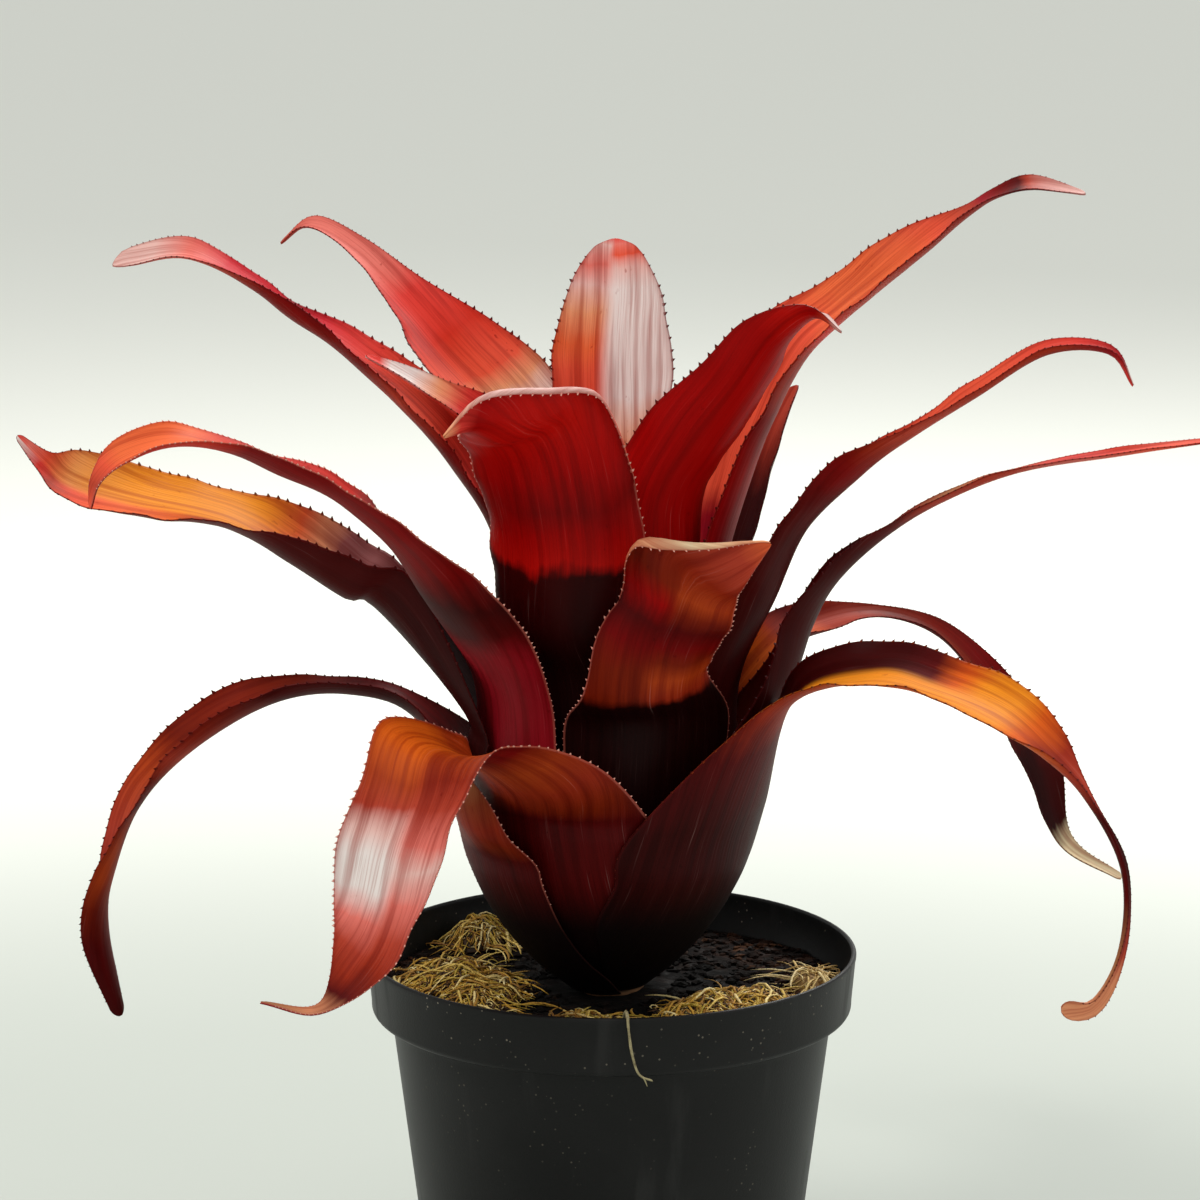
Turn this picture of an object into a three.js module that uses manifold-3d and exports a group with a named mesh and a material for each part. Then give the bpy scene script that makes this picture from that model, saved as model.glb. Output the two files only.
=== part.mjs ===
// A potted bromeliad: a funnel of strap leaves on a short stem, in a nursery pot of dark mix
// with moss on top. Millimetres, +Z up. The origin is the centre of the pot's flat underside,
// and the front is towards -Y.
import * as THREE from "three";
import { mergeVertices } from "three/addons/utils/BufferGeometryUtils.js";
import Module from "manifold-3d";

// Pot: a tapered body, a step outwards at its shoulder and an upright rim band above it
const POT_HEIGHT = 135;
const RIM_RADIUS = 75;
const BAND_FOOT = 119;
const BAND_FOOT_RADIUS = 73.6;
const SHOULDER = 114;
const SHOULDER_RADIUS = 67.4;
const BASE_RADIUS = 53;
const FOOT_BEVEL = 2;
const LIP_ROUND = 0.6;
const WALL = 1.6;
const FLOOR = 2.4;
const DRAIN_HOLES = 6;
const DRAIN_HOLE_RADIUS = 4.5;
const DRAIN_CIRCLE_RADIUS = 38;
const AROUND_POT = 48;
const AROUND_HOLE = 16;

// Potting mix, moss and stem
const CLEARANCE = 0.3;
const FACET_ROOM = 0.2;
const MIX_TOP = 123.2;
const STEM_BOTTOM = 85;
const STEM_BUTT = 10;
const STEM_BUTT_RADIUS = 8;
const STEM_TOP = 152;
const STEM_RADIUS = 10;
const STEM_TAPER = 0.28;
const AROUND_STEM = 24;

// Funnel of leaf sheaths: each leaf is one layer further in than the one before
const FUNNEL_FOOT = 124;
const FUNNEL_FOOT_RADIUS = 13;
const FUNNEL_FLARE = 44;
const FUNNEL_RISE = 32;
const LAYER_PITCH = 1.6;
const SHEATH_RINGS = [131, 137, 144, 153, 165, 181, 200];
const SHEATH_WRAP = 1.1;
const STEM_GAP = 0.8;

// Leaves
const LEAF_THICKNESS = 0.8;
const ACROSS = 8;

// One entry for each leaf, from the outermost layer inwards. azimuth is the side of the plant
// that its sheath stands on, in degrees from +X. shoulder is the height at which the blade
// leaves the funnel, and sheath is the sheath's width. Each point of the spine holds
// x, y, z, the blade's width, half of the angle that its channel bends through, and its roll.
const LEAVES = [
  {
    name: "leaf_basal_stub", azimuth: -140, shoulder: 172, sheath: 36,
    spine: [
      [-40, -36, 182, 26, 36, 0],
      [-43, -39, 192, 20, 34, 0],
      [-45, -42, 201, 6, 30, 0],
    ],
  },
  {
    name: "leaf_left_drooping", azimuth: 172, shoulder: 196, sheath: 50,
    spine: [
      [-63, 3, 212, 23, 42, 26],
      [-80, 4, 216, 21, 41, 27],
      [-97, 6, 215, 24, 50, 23],
      [-115, 8, 209, 29, 60, 14],
      [-133, 10, 196, 27, 63, 7],
      [-147, 12, 179, 23, 40, 3],
      [-156, 13, 157, 23, 60, 17],
      [-159, 14, 136, 17, 45, 43],
      [-153, 14, 109, 5, 31, 66],
    ],
  },
  {
    name: "leaf_right_drooping", azimuth: -34, shoulder: 182, sheath: 80,
    spine: [
      [51, -40, 223, 31, 44, 15],
      [75, -56, 235, 29, 36, 12],
      [93, -70, 234, 28, 34, 4],
      [110, -82, 229, 29, 34, 2],
      [123, -90, 220, 25, 38, -11],
      [134, -94, 207, 11, 41, -28],
      [145, -96, 186, 8, 42, -25],
      [145, -97, 163, 7, 44, -15],
      [138, -98, 147, 9, 50, -5],
      [128, -100, 145, 12, 35, 13],
    ],
  },
  {
    name: "leaf_front_drooping", azimuth: -123, shoulder: 186, sheath: 76,
    spine: [
      [-25, -52, 202, 55, 54, 2],
      [-38, -61, 212, 46, 42, -8],
      [-50, -71, 215, 44, 35, -18],
      [-55, -81, 204, 42, 32, -8],
      [-61, -89, 190, 46, 32, -2],
      [-65, -95, 173, 41, 32, -1],
      [-71, -98, 159, 27, 34, -1],
      [-83, -99, 145, 7, 40, 31],
      [-100, -95, 146, 2, 30, 60],
    ],
  },
  {
    name: "leaf_right_twisted", azimuth: 38, shoulder: 205, sheath: 46,
    spine: [
      [49, 33, 223, 29, 51, -8],
      [63, 45, 228, 21, 36, 3],
      [84, 54, 229, 8, 38, 4],
      [105, 60, 221, 12, 43, 13],
      [123, 65, 200, 18, 36, 34],
      [137, 66, 176, 18, 43, 42],
      [145, 65, 152, 8, 49, 39],
      [163, 60, 141, 3, 29, 39],
    ],
  },
  {
    name: "leaf_back_low", azimuth: 102, shoulder: 200, sheath: 52,
    spine: [
      [-5, 70, 217, 46, 45, 0],
      [-7, 95, 224, 42, 45, 0],
      [-9, 125, 215, 36, 45, 0],
      [-11, 150, 193, 28, 45, 0],
      [-14, 165, 155, 8, 40, 0],
    ],
  },
  {
    name: "leaf_left_broad", azimuth: 178, shoulder: 210, sheath: 50,
    spine: [
      [-66, 2, 246, 57, 64, 11],
      [-77, 2, 251, 57, 64, 6],
      [-94, 1, 261, 50, 64, 1],
      [-115, 0, 270, 40, 30, -1],
      [-141, -1, 275, 35, 31, -12],
      [-162, -1, 281, 25, 42, -27],
      [-170, -1, 286, 8, 36, -48],
      [-178, -1, 294, 2, 31, -67],
    ],
  },
  {
    name: "leaf_right_long", azimuth: -2, shoulder: 200, sheath: 58,
    spine: [
      [50, -3, 220, 38, 56, 0],
      [57, -2, 238, 33, 54, -10],
      [66, -5, 253, 30, 47, -7],
      [80, -6, 265, 20, 33, -11],
      [98, -7, 276, 15, 31, -9],
      [120, -9, 285, 11, 26, -11],
      [152, -11, 291, 8, 36, 1],
      [187, -13, 296, 2, 30, 12],
    ],
  },
  {
    name: "leaf_left_arching", azimuth: -152, shoulder: 222, sheath: 54,
    spine: [
      [-45, -38, 249, 51, 53, 14],
      [-61, -52, 272, 37, 47, 7],
      [-77, -61, 287, 30, 40, 3],
      [-93, -69, 296, 25, 43, 10],
      [-106, -76, 303, 23, 37, 12],
      [-123, -83, 307, 19, 41, 0],
      [-137, -87, 303, 15, 35, -7],
      [-144, -89, 296, 7, 43, -1],
      [-146, -90, 288, 2, 40, 5],
    ],
  },
  {
    name: "leaf_front_short", azimuth: -70, shoulder: 215, sheath: 56,
    spine: [
      [11, -46, 226, 42, 44, -6],
      [14, -51, 241, 38, 41, -20],
      [19, -57, 252, 34, 42, -34],
      [23, -62, 262, 32, 32, -33],
      [31, -70, 266, 21, 28, -22],
      [45, -73, 275, 2, 30, -3],
    ],
  },
  {
    name: "leaf_right_middle", azimuth: -20, shoulder: 222, sheath: 58,
    spine: [
      [43, -18, 248, 38, 62, 0],
      [55, -27, 272, 32, 40, -2],
      [71, -37, 292, 28, 62, -9],
      [87, -44, 303, 20, 40, -5],
      [104, -50, 315, 16, 35, 7],
      [124, -54, 328, 12, 59, 6],
      [142, -56, 328, 8, 48, 3],
      [149, -57, 318, 2, 40, 1],
    ],
  },
  {
    name: "leaf_back_low_right", azimuth: 76, shoulder: 212, sheath: 58,
    spine: [
      [14, 60, 232, 44, 45, 0],
      [19, 88, 239, 40, 45, 0],
      [24, 118, 233, 34, 45, 0],
      [27, 146, 214, 24, 45, 0],
      [30, 164, 183, 6, 40, 0],
    ],
  },
  {
    name: "leaf_front_upright", azimuth: -110, shoulder: 225, sheath: 56,
    spine: [
      [-15, -36, 244, 55, 58, -2],
      [-15, -42, 269, 56, 55, 3],
      [-19, -49, 292, 50, 45, 7],
      [-24, -58, 305, 46, 45, 16],
      [-29, -69, 308, 37, 45, 16],
      [-38, -81, 312, 19, 51, 28],
      [-47, -87, 308, 2, 30, 23],
    ],
  },
  {
    name: "leaf_back_low_left", azimuth: 106, shoulder: 222, sheath: 58,
    spine: [
      [-12, 62, 242, 42, 45, 0],
      [-17, 90, 252, 36, 45, 0],
      [-22, 118, 248, 28, 45, 0],
      [-26, 142, 234, 18, 45, 0],
      [-29, 155, 212, 4, 40, 0],
    ],
  },
  {
    name: "leaf_left_upper", azimuth: 184, shoulder: 222, sheath: 42,
    spine: [
      [-31, -4, 259, 28, 46, -1],
      [-47, -5, 293, 36, 52, -18],
      [-75, -8, 320, 28, 47, -9],
      [-93, -10, 332, 22, 46, 5],
      [-105, -11, 341, 17, 42, 0],
      [-124, -12, 351, 14, 41, -20],
      [-141, -13, 349, 9, 40, -35],
      [-147, -13, 347, 2, 40, -41],
    ],
  },
  {
    name: "leaf_back_right_short", azimuth: 36, shoulder: 222, sheath: 54,
    spine: [
      [32, 18, 252, 40, 50, 0],
      [40, 26, 273, 32, 48, 0],
      [48, 34, 290, 20, 45, 0],
      [57, 42, 303, 3, 40, 0],
    ],
  },
  {
    name: "leaf_back_left", azimuth: 122, shoulder: 225, sheath: 40,
    spine: [
      [-16, 31, 278, 30, 60, 0],
      [-33, 38, 300, 37, 48, 0],
      [-49, 53, 314, 32, 44, 0],
      [-65, 70, 328, 17, 44, 0],
      [-81, 84, 341, 9, 44, 0],
      [-96, 95, 347, 7, 45, 0],
      [-106, 100, 340, 2, 40, 0],
    ],
  },
  {
    name: "leaf_right_upper", azimuth: 5, shoulder: 228, sheath: 54,
    spine: [
      [33, 0, 277, 51, 60, 7],
      [50, 3, 317, 47, 49, 13],
      [68, 5, 333, 39, 35, 9],
      [90, 7, 350, 26, 50, 12],
      [106, 11, 360, 13, 35, 3],
      [115, 14, 365, 9, 32, 11],
      [126, 15, 368, 10, 36, 24],
      [142, 16, 365, 2, 40, 34],
    ],
  },
  {
    name: "leaf_right_upright", azimuth: -35, shoulder: 232, sheath: 52,
    spine: [
      [14, -24, 275, 45, 56, -22],
      [24, -28, 297, 40, 54, -23],
      [37, -32, 315, 33, 48, -16],
      [47, -37, 330, 26, 51, -12],
      [58, -43, 337, 13, 43, -7],
      [66, -47, 332, 2, 40, 0],
    ],
  },
  {
    name: "leaf_back_center", azimuth: 88, shoulder: 236, sheath: 46,
    spine: [
      [0, 24, 270, 42, 46, 0],
      [0, 30, 293, 40, 38, 0],
      [0, 37, 314, 38, 32, 0],
      [1, 44, 331, 30, 30, 0],
      [1, 50, 342, 18, 30, 0],
      [1, 54, 347, 6, 30, 0],
    ],
  },
  {
    name: "leaf_inner_left", azimuth: 168, shoulder: 232, sheath: 46,
    spine: [
      [-20, 2, 277, 28, 55, 0],
      [-35, 0, 296, 25, 52, 0],
      [-51, -3, 307, 14, 48, 0],
      [-63, -5, 314, 8, 48, 0],
      [-73, -6, 319, 2, 40, 0],
    ],
  },
];

// Loose heaps of moss and straw on the mix: centre, half length, half width, height and turn
const HEAPS = [
  { name: "moss_left", x: -46, y: -9, length: 31, width: 18, height: 6, turn: 98 },
  { name: "moss_front", x: -9, y: -48, length: 13, width: 9, height: 4, turn: 10 },
  { name: "moss_right", x: 34, y: -31, length: 25, width: 14, height: 6, turn: 35 },
  { name: "straw_right_edge", x: 62, y: -3, length: 17, width: 6, height: 5, turn: 96 },
  { name: "moss_back_left", x: -41, y: 46, length: 14, width: 9, height: 8, turn: 40 },
];

const DOME_PROFILE = [
  [0, 0],
  [0.92, 0],
  [1, 0.16],
  [0.8, 0.6],
  [0.45, 0.9],
  [0, 1],
];
const AROUND_HEAP = 16;
const LOBE_DEPTH = 0.12;
const NOTCH_DEPTH = 0.08;

// A dry root that comes out of the mix and hangs over the rim
const ROOT_RADIUS = 0.6;
const ROOT_STEPS = 22;
const ROOT_CURVE_SEGMENTS = 4;
const ROOT_PATH = [
  [2, -61, 124],
  [3, -67, 130],
  [4, -72.6, 136.4],
  [4.6, -76.2, 136.2],
  [5, -77.6, 132],
  [6, -77.6, 125],
  [8, -77.4, 119],
  [12, -77.4, 117],
];

const FINISHES = {
  pot: { color: "#151515", roughness: 0.5 },
  mix: { color: "#1b1512", roughness: 0.95 },
  stem: { color: "#5a4028", roughness: 0.8 },
  moss: { color: "#a87f38", roughness: 0.9 },
  straw: { color: "#d8bd76", roughness: 0.9 },
  root: { color: "#d5cf9c", roughness: 0.8 },
  redLeaf: { color: "#a81f14", roughness: 0.35 },
  orangeLeaf: { color: "#d2691e", roughness: 0.35 },
  pinkLeaf: { color: "#e07a70", roughness: 0.35 },
};
const ORANGE_LEAVES = ["leaf_left_broad", "leaf_right_drooping", "leaf_front_drooping"];
const PINK_LEAVES = ["leaf_back_center", "leaf_inner_left", "leaf_back_left"];

const wasm = await Module();
wasm.setup();

const radians = THREE.MathUtils.degToRad;

function funnelRadius(z, layer) {
  const rise = 1 - Math.exp(-(z - FUNNEL_FOOT) / FUNNEL_RISE);
  return FUNNEL_FOOT_RADIUS + FUNNEL_FLARE * rise - LAYER_PITCH * layer;
}

function stemRadius(z) {
  return STEM_RADIUS - STEM_TAPER * Math.max(0, z - FUNNEL_FOOT);
}

function footHeight(layer) {
  let z = FUNNEL_FOOT;
  while (funnelRadius(z, layer) < stemRadius(z) + STEM_GAP) {
    z += 0.25;
  }
  return z;
}

function acrossSteps() {
  return Array.from({ length: ACROSS + 1 }, (_, i) => (2 * i) / ACROSS - 1);
}

// The rings of a sheath: arcs about the plant's axis, with offset added to their radius
function sheathSections(leaf, layer, offset) {
  const foot = footHeight(layer);
  const between = SHEATH_RINGS.filter((z) => z > foot + 2 && z < leaf.shoulder - 4);
  const azimuth = radians(leaf.azimuth);
  return [foot, ...between, leaf.shoulder].map((z) => {
    const radius = funnelRadius(z, layer);
    const half = Math.min(SHEATH_WRAP, leaf.sheath / 2 / radius);
    const points = acrossSteps().map((u) => {
      const angle = azimuth - u * half;
      const reach = radius + offset;
      return new THREE.Vector3(reach * Math.cos(angle), reach * Math.sin(angle), z);
    });
    const middle = new THREE.Vector3(radius * Math.cos(azimuth), radius * Math.sin(azimuth), z);
    return { middle, points };
  });
}

// The sections of a blade: channelled arcs square to the spine, carried along it without
// turning, apart from each point's own roll
function bladeSections(leaf, sheath, offset) {
  const azimuth = radians(leaf.azimuth);
  const middles = sheath.map((section) => section.middle);
  for (const [x, y, z] of leaf.spine) {
    middles.push(new THREE.Vector3(x, y, z));
  }
  const inward = new THREE.Vector3(-Math.cos(azimuth), -Math.sin(azimuth), 0);
  return leaf.spine.map(([, , , width, cup, roll], i) => {
    const at = sheath.length + i;
    const next = middles[Math.min(at + 1, middles.length - 1)];
    const along = next.clone().sub(middles[at - 1]).normalize();
    inward.addScaledVector(along, -inward.dot(along)).normalize();
    const side = along.clone().cross(inward).applyAxisAngle(along, radians(roll));
    const up = inward.clone().applyAxisAngle(along, radians(roll));
    const bend = radians(cup);
    const radius = width / 2 / bend;
    const centre = middles[at].clone().addScaledVector(up, (radius * (1 + Math.cos(bend))) / 2);
    const points = acrossSteps().map((u) =>
      centre
        .clone()
        .addScaledVector(side, (radius + offset) * Math.sin(u * bend))
        .addScaledVector(up, -(radius + offset) * Math.cos(u * bend)),
    );
    return { points };
  });
}

// Rows of points along one face of a leaf: each ring of the sheath, then even steps to the tip
function leafFace(leaf, layer, offset) {
  const sheath = sheathSections(leaf, layer, offset);
  const sections = [...sheath, ...bladeSections(leaf, sheath, offset)];
  const last = sections.length - 1;
  const shoulder = sheath.length - 1;
  const steps = leaf.spine.length + 1;
  const places = sheath.slice(1).map((_, i) => i);
  for (let i = 0; i <= steps; i += 1) {
    places.push(shoulder + ((last - shoulder) * i) / steps);
  }
  const lines = acrossSteps().map((_, j) => {
    const points = sections.map((section) => section.points[j]);
    return new THREE.CatmullRomCurve3(points, false, "catmullrom", 0.5);
  });
  return places.map((place) => lines.map((line) => line.getPoint(place / last)));
}

function leafGeometry(leaf, layer) {
  const inner = leafFace(leaf, layer, -LEAF_THICKNESS / 2);
  const outer = leafFace(leaf, layer, LEAF_THICKNESS / 2);
  const rows = inner.length;
  const columns = ACROSS + 1;
  const positions = [...inner, ...outer].flat().flatMap((p) => [p.x, p.y, p.z]);
  const innerAt = (i, j) => i * columns + j;
  const outerAt = (i, j) => (rows + i) * columns + j;
  const index = [];
  const quad = (a, b, c, d) => index.push(c, b, a, d, c, a);
  for (let i = 0; i < rows - 1; i += 1) {
    for (let j = 0; j < ACROSS; j += 1) {
      quad(innerAt(i, j), innerAt(i + 1, j), innerAt(i + 1, j + 1), innerAt(i, j + 1));
      quad(outerAt(i, j), outerAt(i, j + 1), outerAt(i + 1, j + 1), outerAt(i + 1, j));
    }
    quad(innerAt(i, 0), outerAt(i, 0), outerAt(i + 1, 0), innerAt(i + 1, 0));
    quad(innerAt(i, ACROSS), innerAt(i + 1, ACROSS), outerAt(i + 1, ACROSS), outerAt(i, ACROSS));
  }
  for (let j = 0; j < ACROSS; j += 1) {
    quad(innerAt(0, j), innerAt(0, j + 1), outerAt(0, j + 1), outerAt(0, j));
    quad(innerAt(rows - 1, j), outerAt(rows - 1, j), outerAt(rows - 1, j + 1), innerAt(rows - 1, j + 1));
  }
  const geometry = new THREE.BufferGeometry();
  geometry.setAttribute("position", new THREE.Float32BufferAttribute(positions, 3));
  geometry.setIndex(index);
  geometry.computeVertexNormals();
  return geometry;
}

function turned(profile, sides) {
  const points = profile.map(([radius, z]) => new THREE.Vector2(radius, z));
  return new THREE.LatheGeometry(points, sides).rotateX(Math.PI / 2);
}

function solidOf(geometry) {
  const bare = geometry.clone();
  bare.deleteAttribute("normal");
  bare.deleteAttribute("uv");
  const merged = mergeVertices(bare, 1e-4);
  const vertProperties = new Float32Array(merged.attributes.position.array);
  const triVerts = new Uint32Array(merged.index.array);
  return new wasm.Manifold(new wasm.Mesh({ numProp: 3, vertProperties, triVerts }));
}

function geometryOf(solid) {
  const { vertProperties, triVerts } = solid.getMesh();
  const geometry = new THREE.BufferGeometry();
  geometry.setAttribute("position", new THREE.BufferAttribute(vertProperties, 3));
  geometry.setIndex(new THREE.BufferAttribute(triVerts, 1));
  geometry.computeVertexNormals();
  return geometry;
}

// The body's wall leans outwards evenly from the base to the shoulder
function bodyRadius(z) {
  return BASE_RADIUS + ((SHOULDER_RADIUS - BASE_RADIUS) * z) / SHOULDER;
}

// The pot's inner wall, or a line inset from it, from the floor up to a height in the rim band
function innerWall(inset, bottom, top) {
  const stepHeight = WALL / 2;
  return [
    [0, bottom],
    [bodyRadius(bottom) - inset, bottom],
    [SHOULDER_RADIUS - inset, SHOULDER],
    [BAND_FOOT_RADIUS - inset, BAND_FOOT + stepHeight],
    [RIM_RADIUS - inset, top],
  ];
}

function potGeometry() {
  const outer = [
    [0, 0],
    [BASE_RADIUS - FOOT_BEVEL, 0],
    [bodyRadius(FOOT_BEVEL), FOOT_BEVEL],
    [SHOULDER_RADIUS, SHOULDER],
    [BAND_FOOT_RADIUS - FOOT_BEVEL, BAND_FOOT - FOOT_BEVEL],
    [BAND_FOOT_RADIUS, BAND_FOOT],
    [RIM_RADIUS, POT_HEIGHT - LIP_ROUND],
    [RIM_RADIUS - LIP_ROUND, POT_HEIGHT],
  ];
  const inner = innerWall(WALL, FLOOR, POT_HEIGHT - LIP_ROUND).reverse();
  let pot = solidOf(turned([...outer, ...inner], AROUND_POT));
  for (let i = 0; i < DRAIN_HOLES; i += 1) {
    const angle = (2 * Math.PI * (i + 0.5)) / DRAIN_HOLES;
    const hole = new THREE.CylinderGeometry(DRAIN_HOLE_RADIUS, DRAIN_HOLE_RADIUS, 4 * FLOOR, AROUND_HOLE)
      .rotateX(Math.PI / 2)
      .translate(DRAIN_CIRCLE_RADIUS * Math.cos(angle), DRAIN_CIRCLE_RADIUS * Math.sin(angle), 0);
    pot = pot.subtract(solidOf(hole));
  }
  return geometryOf(pot);
}

function stemProfile(extra) {
  return [
    [0, STEM_BOTTOM - extra],
    [STEM_BUTT_RADIUS + extra, STEM_BOTTOM - extra],
    [STEM_RADIUS + extra, STEM_BOTTOM + STEM_BUTT],
    [STEM_RADIUS + extra, FUNNEL_FOOT],
    [stemRadius(STEM_TOP) + extra, STEM_TOP],
    [0, STEM_TOP + 1 + extra],
  ];
}

// The mix fills the pot up to its flat top, with a socket for the stem. The wall is drawn to
// a height above that top, and the points above the top are brought down to it.
function mixGeometry() {
  const wall = innerWall(WALL + CLEARANCE + FACET_ROOM, FLOOR + CLEARANCE, POT_HEIGHT);
  const last = wall.pop();
  const [footRadius, foot] = wall.at(-1);
  const share = (MIX_TOP - foot) / (last[1] - foot);
  const topRadius = footRadius + (last[0] - footRadius) * share;
  const mix = solidOf(turned([...wall, [topRadius, MIX_TOP], [0, MIX_TOP]], AROUND_POT));
  return geometryOf(mix.subtract(solidOf(turned(stemProfile(CLEARANCE), AROUND_STEM))));
}

// A low rounded heap with a flat underside and an uneven outline
function heapGeometry({ x, y, length, width, height, turn }) {
  const dome = turned(DOME_PROFILE, AROUND_HEAP);
  const position = dome.attributes.position;
  for (let i = 0; i < position.count; i += 1) {
    const around = Math.atan2(position.getY(i), position.getX(i));
    const lobes = LOBE_DEPTH * Math.sin(3 * around + x);
    const wave = 1 + lobes + NOTCH_DEPTH * Math.sin(5 * around + y);
    position.setX(i, position.getX(i) * wave);
    position.setY(i, position.getY(i) * wave);
  }
  return dome
    .scale(length, width, height)
    .rotateZ(radians(turn))
    .translate(x, y, MIX_TOP + CLEARANCE);
}

function rootGeometry() {
  const path = new THREE.CatmullRomCurve3(ROOT_PATH.map((point) => new THREE.Vector3(...point)));
  const section = new THREE.Shape();
  section.absarc(0, 0, ROOT_RADIUS, 0, 2 * Math.PI);
  return new THREE.ExtrudeGeometry(section, {
    steps: ROOT_STEPS,
    curveSegments: ROOT_CURVE_SEGMENTS,
    bevelEnabled: false,
    extrudePath: path,
  });
}

function leafFinish(name) {
  if (ORANGE_LEAVES.includes(name)) {
    return FINISHES.orangeLeaf;
  }
  return PINK_LEAVES.includes(name) ? FINISHES.pinkLeaf : FINISHES.redLeaf;
}

const plant = new THREE.Group();

function add(name, geometry, finish) {
  const mesh = new THREE.Mesh(geometry, new THREE.MeshStandardMaterial(finish));
  mesh.name = name;
  plant.add(mesh);
}

add("pot", potGeometry(), FINISHES.pot);
add("potting_mix", mixGeometry(), FINISHES.mix);
add("stem", turned(stemProfile(0), AROUND_STEM), FINISHES.stem);
for (const heap of HEAPS) {
  add(heap.name, heapGeometry(heap), heap.name.startsWith("straw") ? FINISHES.straw : FINISHES.moss);
}
add("loose_root", rootGeometry(), FINISHES.root);
LEAVES.forEach((leaf, layer) => {
  add(leaf.name, leafGeometry(leaf, layer), leafFinish(leaf.name));
});

export default plant;
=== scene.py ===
"""A potted hohenbergia: a funnel of spiny strap leaves in a black nursery pot topped with moss.

Blender works in metres here. Sizes of the plant are written in millimetres and scaled by MM.
"""

import math
import random

import bmesh
import bpy
import numpy as np
from mathutils import Matrix, Vector, noise


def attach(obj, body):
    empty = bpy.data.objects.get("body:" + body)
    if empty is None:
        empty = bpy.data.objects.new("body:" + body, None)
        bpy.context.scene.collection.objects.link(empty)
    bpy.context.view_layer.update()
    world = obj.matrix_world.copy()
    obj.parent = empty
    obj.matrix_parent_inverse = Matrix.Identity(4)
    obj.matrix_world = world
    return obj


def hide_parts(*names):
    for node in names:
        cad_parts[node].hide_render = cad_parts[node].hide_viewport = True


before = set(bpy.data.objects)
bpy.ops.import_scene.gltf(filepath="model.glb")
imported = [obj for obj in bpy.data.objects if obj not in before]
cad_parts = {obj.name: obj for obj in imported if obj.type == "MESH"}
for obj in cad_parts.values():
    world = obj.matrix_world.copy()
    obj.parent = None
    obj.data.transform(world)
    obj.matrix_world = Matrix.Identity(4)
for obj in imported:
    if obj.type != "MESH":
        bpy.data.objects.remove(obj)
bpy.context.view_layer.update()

MM = 0.001
PICTURE_SIDE = 1200


# Camera, light and floor

RIM_CENTRE = (0.0, 0.0, 135.0)
VIEW_ELEVATION = 16.0
VIEW_DISTANCE = 1350.0
PIXELS_PER_MM_AT_RIM = 3.25
RIM_CENTRE_PIXEL = (612.0, 947.5)
ROSETTE_MIDDLE = (0.0, 0.0, 0.23)
AIR_COLOR = (0.94, 0.95, 0.92, 1.0)
AIR_STRENGTH = 0.74
FLOOR_RADIUS = 14.0
FLOOR_SIDES = 96


def added(name, data):
    """A new object in the scene."""
    made = bpy.data.objects.new(name, data)
    bpy.context.scene.collection.objects.link(made)
    return made


def photo_camera():
    """The photograph's view. The rim's centre lies below and right of the picture's middle."""
    focal_pixels = PIXELS_PER_MM_AT_RIM * VIEW_DISTANCE
    right = math.atan((RIM_CENTRE_PIXEL[0] - PICTURE_SIDE / 2) / focal_pixels)
    below = math.atan((RIM_CENTRE_PIXEL[1] - PICTURE_SIDE / 2) / focal_pixels)
    elevation = math.radians(VIEW_ELEVATION)
    data = bpy.data.cameras.new("photo_camera")
    data.sensor_width = 36.0
    data.lens = data.sensor_width * focal_pixels / PICTURE_SIDE
    data.clip_start, data.clip_end = 0.05, 60.0
    camera = added("photo_camera", data)
    back = Vector((0.0, -math.cos(elevation), math.sin(elevation)))
    camera.location = (Vector(RIM_CENTRE) + back * VIEW_DISTANCE) * MM
    camera.rotation_euler = (math.pi / 2 - elevation + below, 0.0, right)
    bpy.context.scene.camera = camera


def softbox(name, place, size, power, color):
    """A square area light that faces the middle of the rosette."""
    data = bpy.data.lights.new(name, "AREA")
    data.shape, data.size = "SQUARE", size
    data.energy, data.color = power, color
    light = added(name, data)
    light.location = place
    aim = Vector(ROSETTE_MIDDLE) - Vector(place)
    light.rotation_euler = aim.to_track_quat("-Z", "Y").to_euler()


def studio():
    scene = bpy.context.scene
    scene.view_settings.view_transform = "Standard"
    world = bpy.data.worlds.new("studio_air")
    world.use_nodes = True
    air = world.node_tree.nodes["Background"]
    air.inputs["Color"].default_value = AIR_COLOR
    air.inputs["Strength"].default_value = AIR_STRENGTH
    scene.world = world
    softbox("key_light", (-0.95, -0.75, 1.7), 0.45, 15.0, (1.0, 0.97, 0.92))
    softbox("back_light", (0.5, 1.15, 1.45), 0.7, 24.0, (1.0, 0.98, 0.95))
    softbox("side_light", (1.5, -0.4, 0.9), 0.7, 4.0, (0.96, 0.98, 1.0))


# Shader nodes

class Wire:
    """An output of a material's node, with the arithmetic that a pattern needs."""

    def __init__(self, finish, socket):
        self.finish = finish
        self.socket = socket

    def maths(self, operation, first, second):
        return self.finish.node("ShaderNodeMath", {"operation": operation}, [first, second])

    def __add__(self, other):
        return self.maths("ADD", self, other)

    __radd__ = __add__

    def __sub__(self, other):
        return self.maths("SUBTRACT", self, other)

    def __rsub__(self, other):
        return self.maths("SUBTRACT", other, self)

    def __mul__(self, other):
        return self.maths("MULTIPLY", self, other)

    __rmul__ = __mul__

    def __abs__(self):
        return self.maths("ABSOLUTE", self, 0.0)

    def ease(self, start, end, low=0.0, high=1.0):
        """low up to start and high from end on, with a smooth rise or fall between them."""
        settings = {"interpolation_type": "SMOOTHSTEP"}
        return self.finish.node("ShaderNodeMapRange", settings, [self, start, end, low, high])


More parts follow.
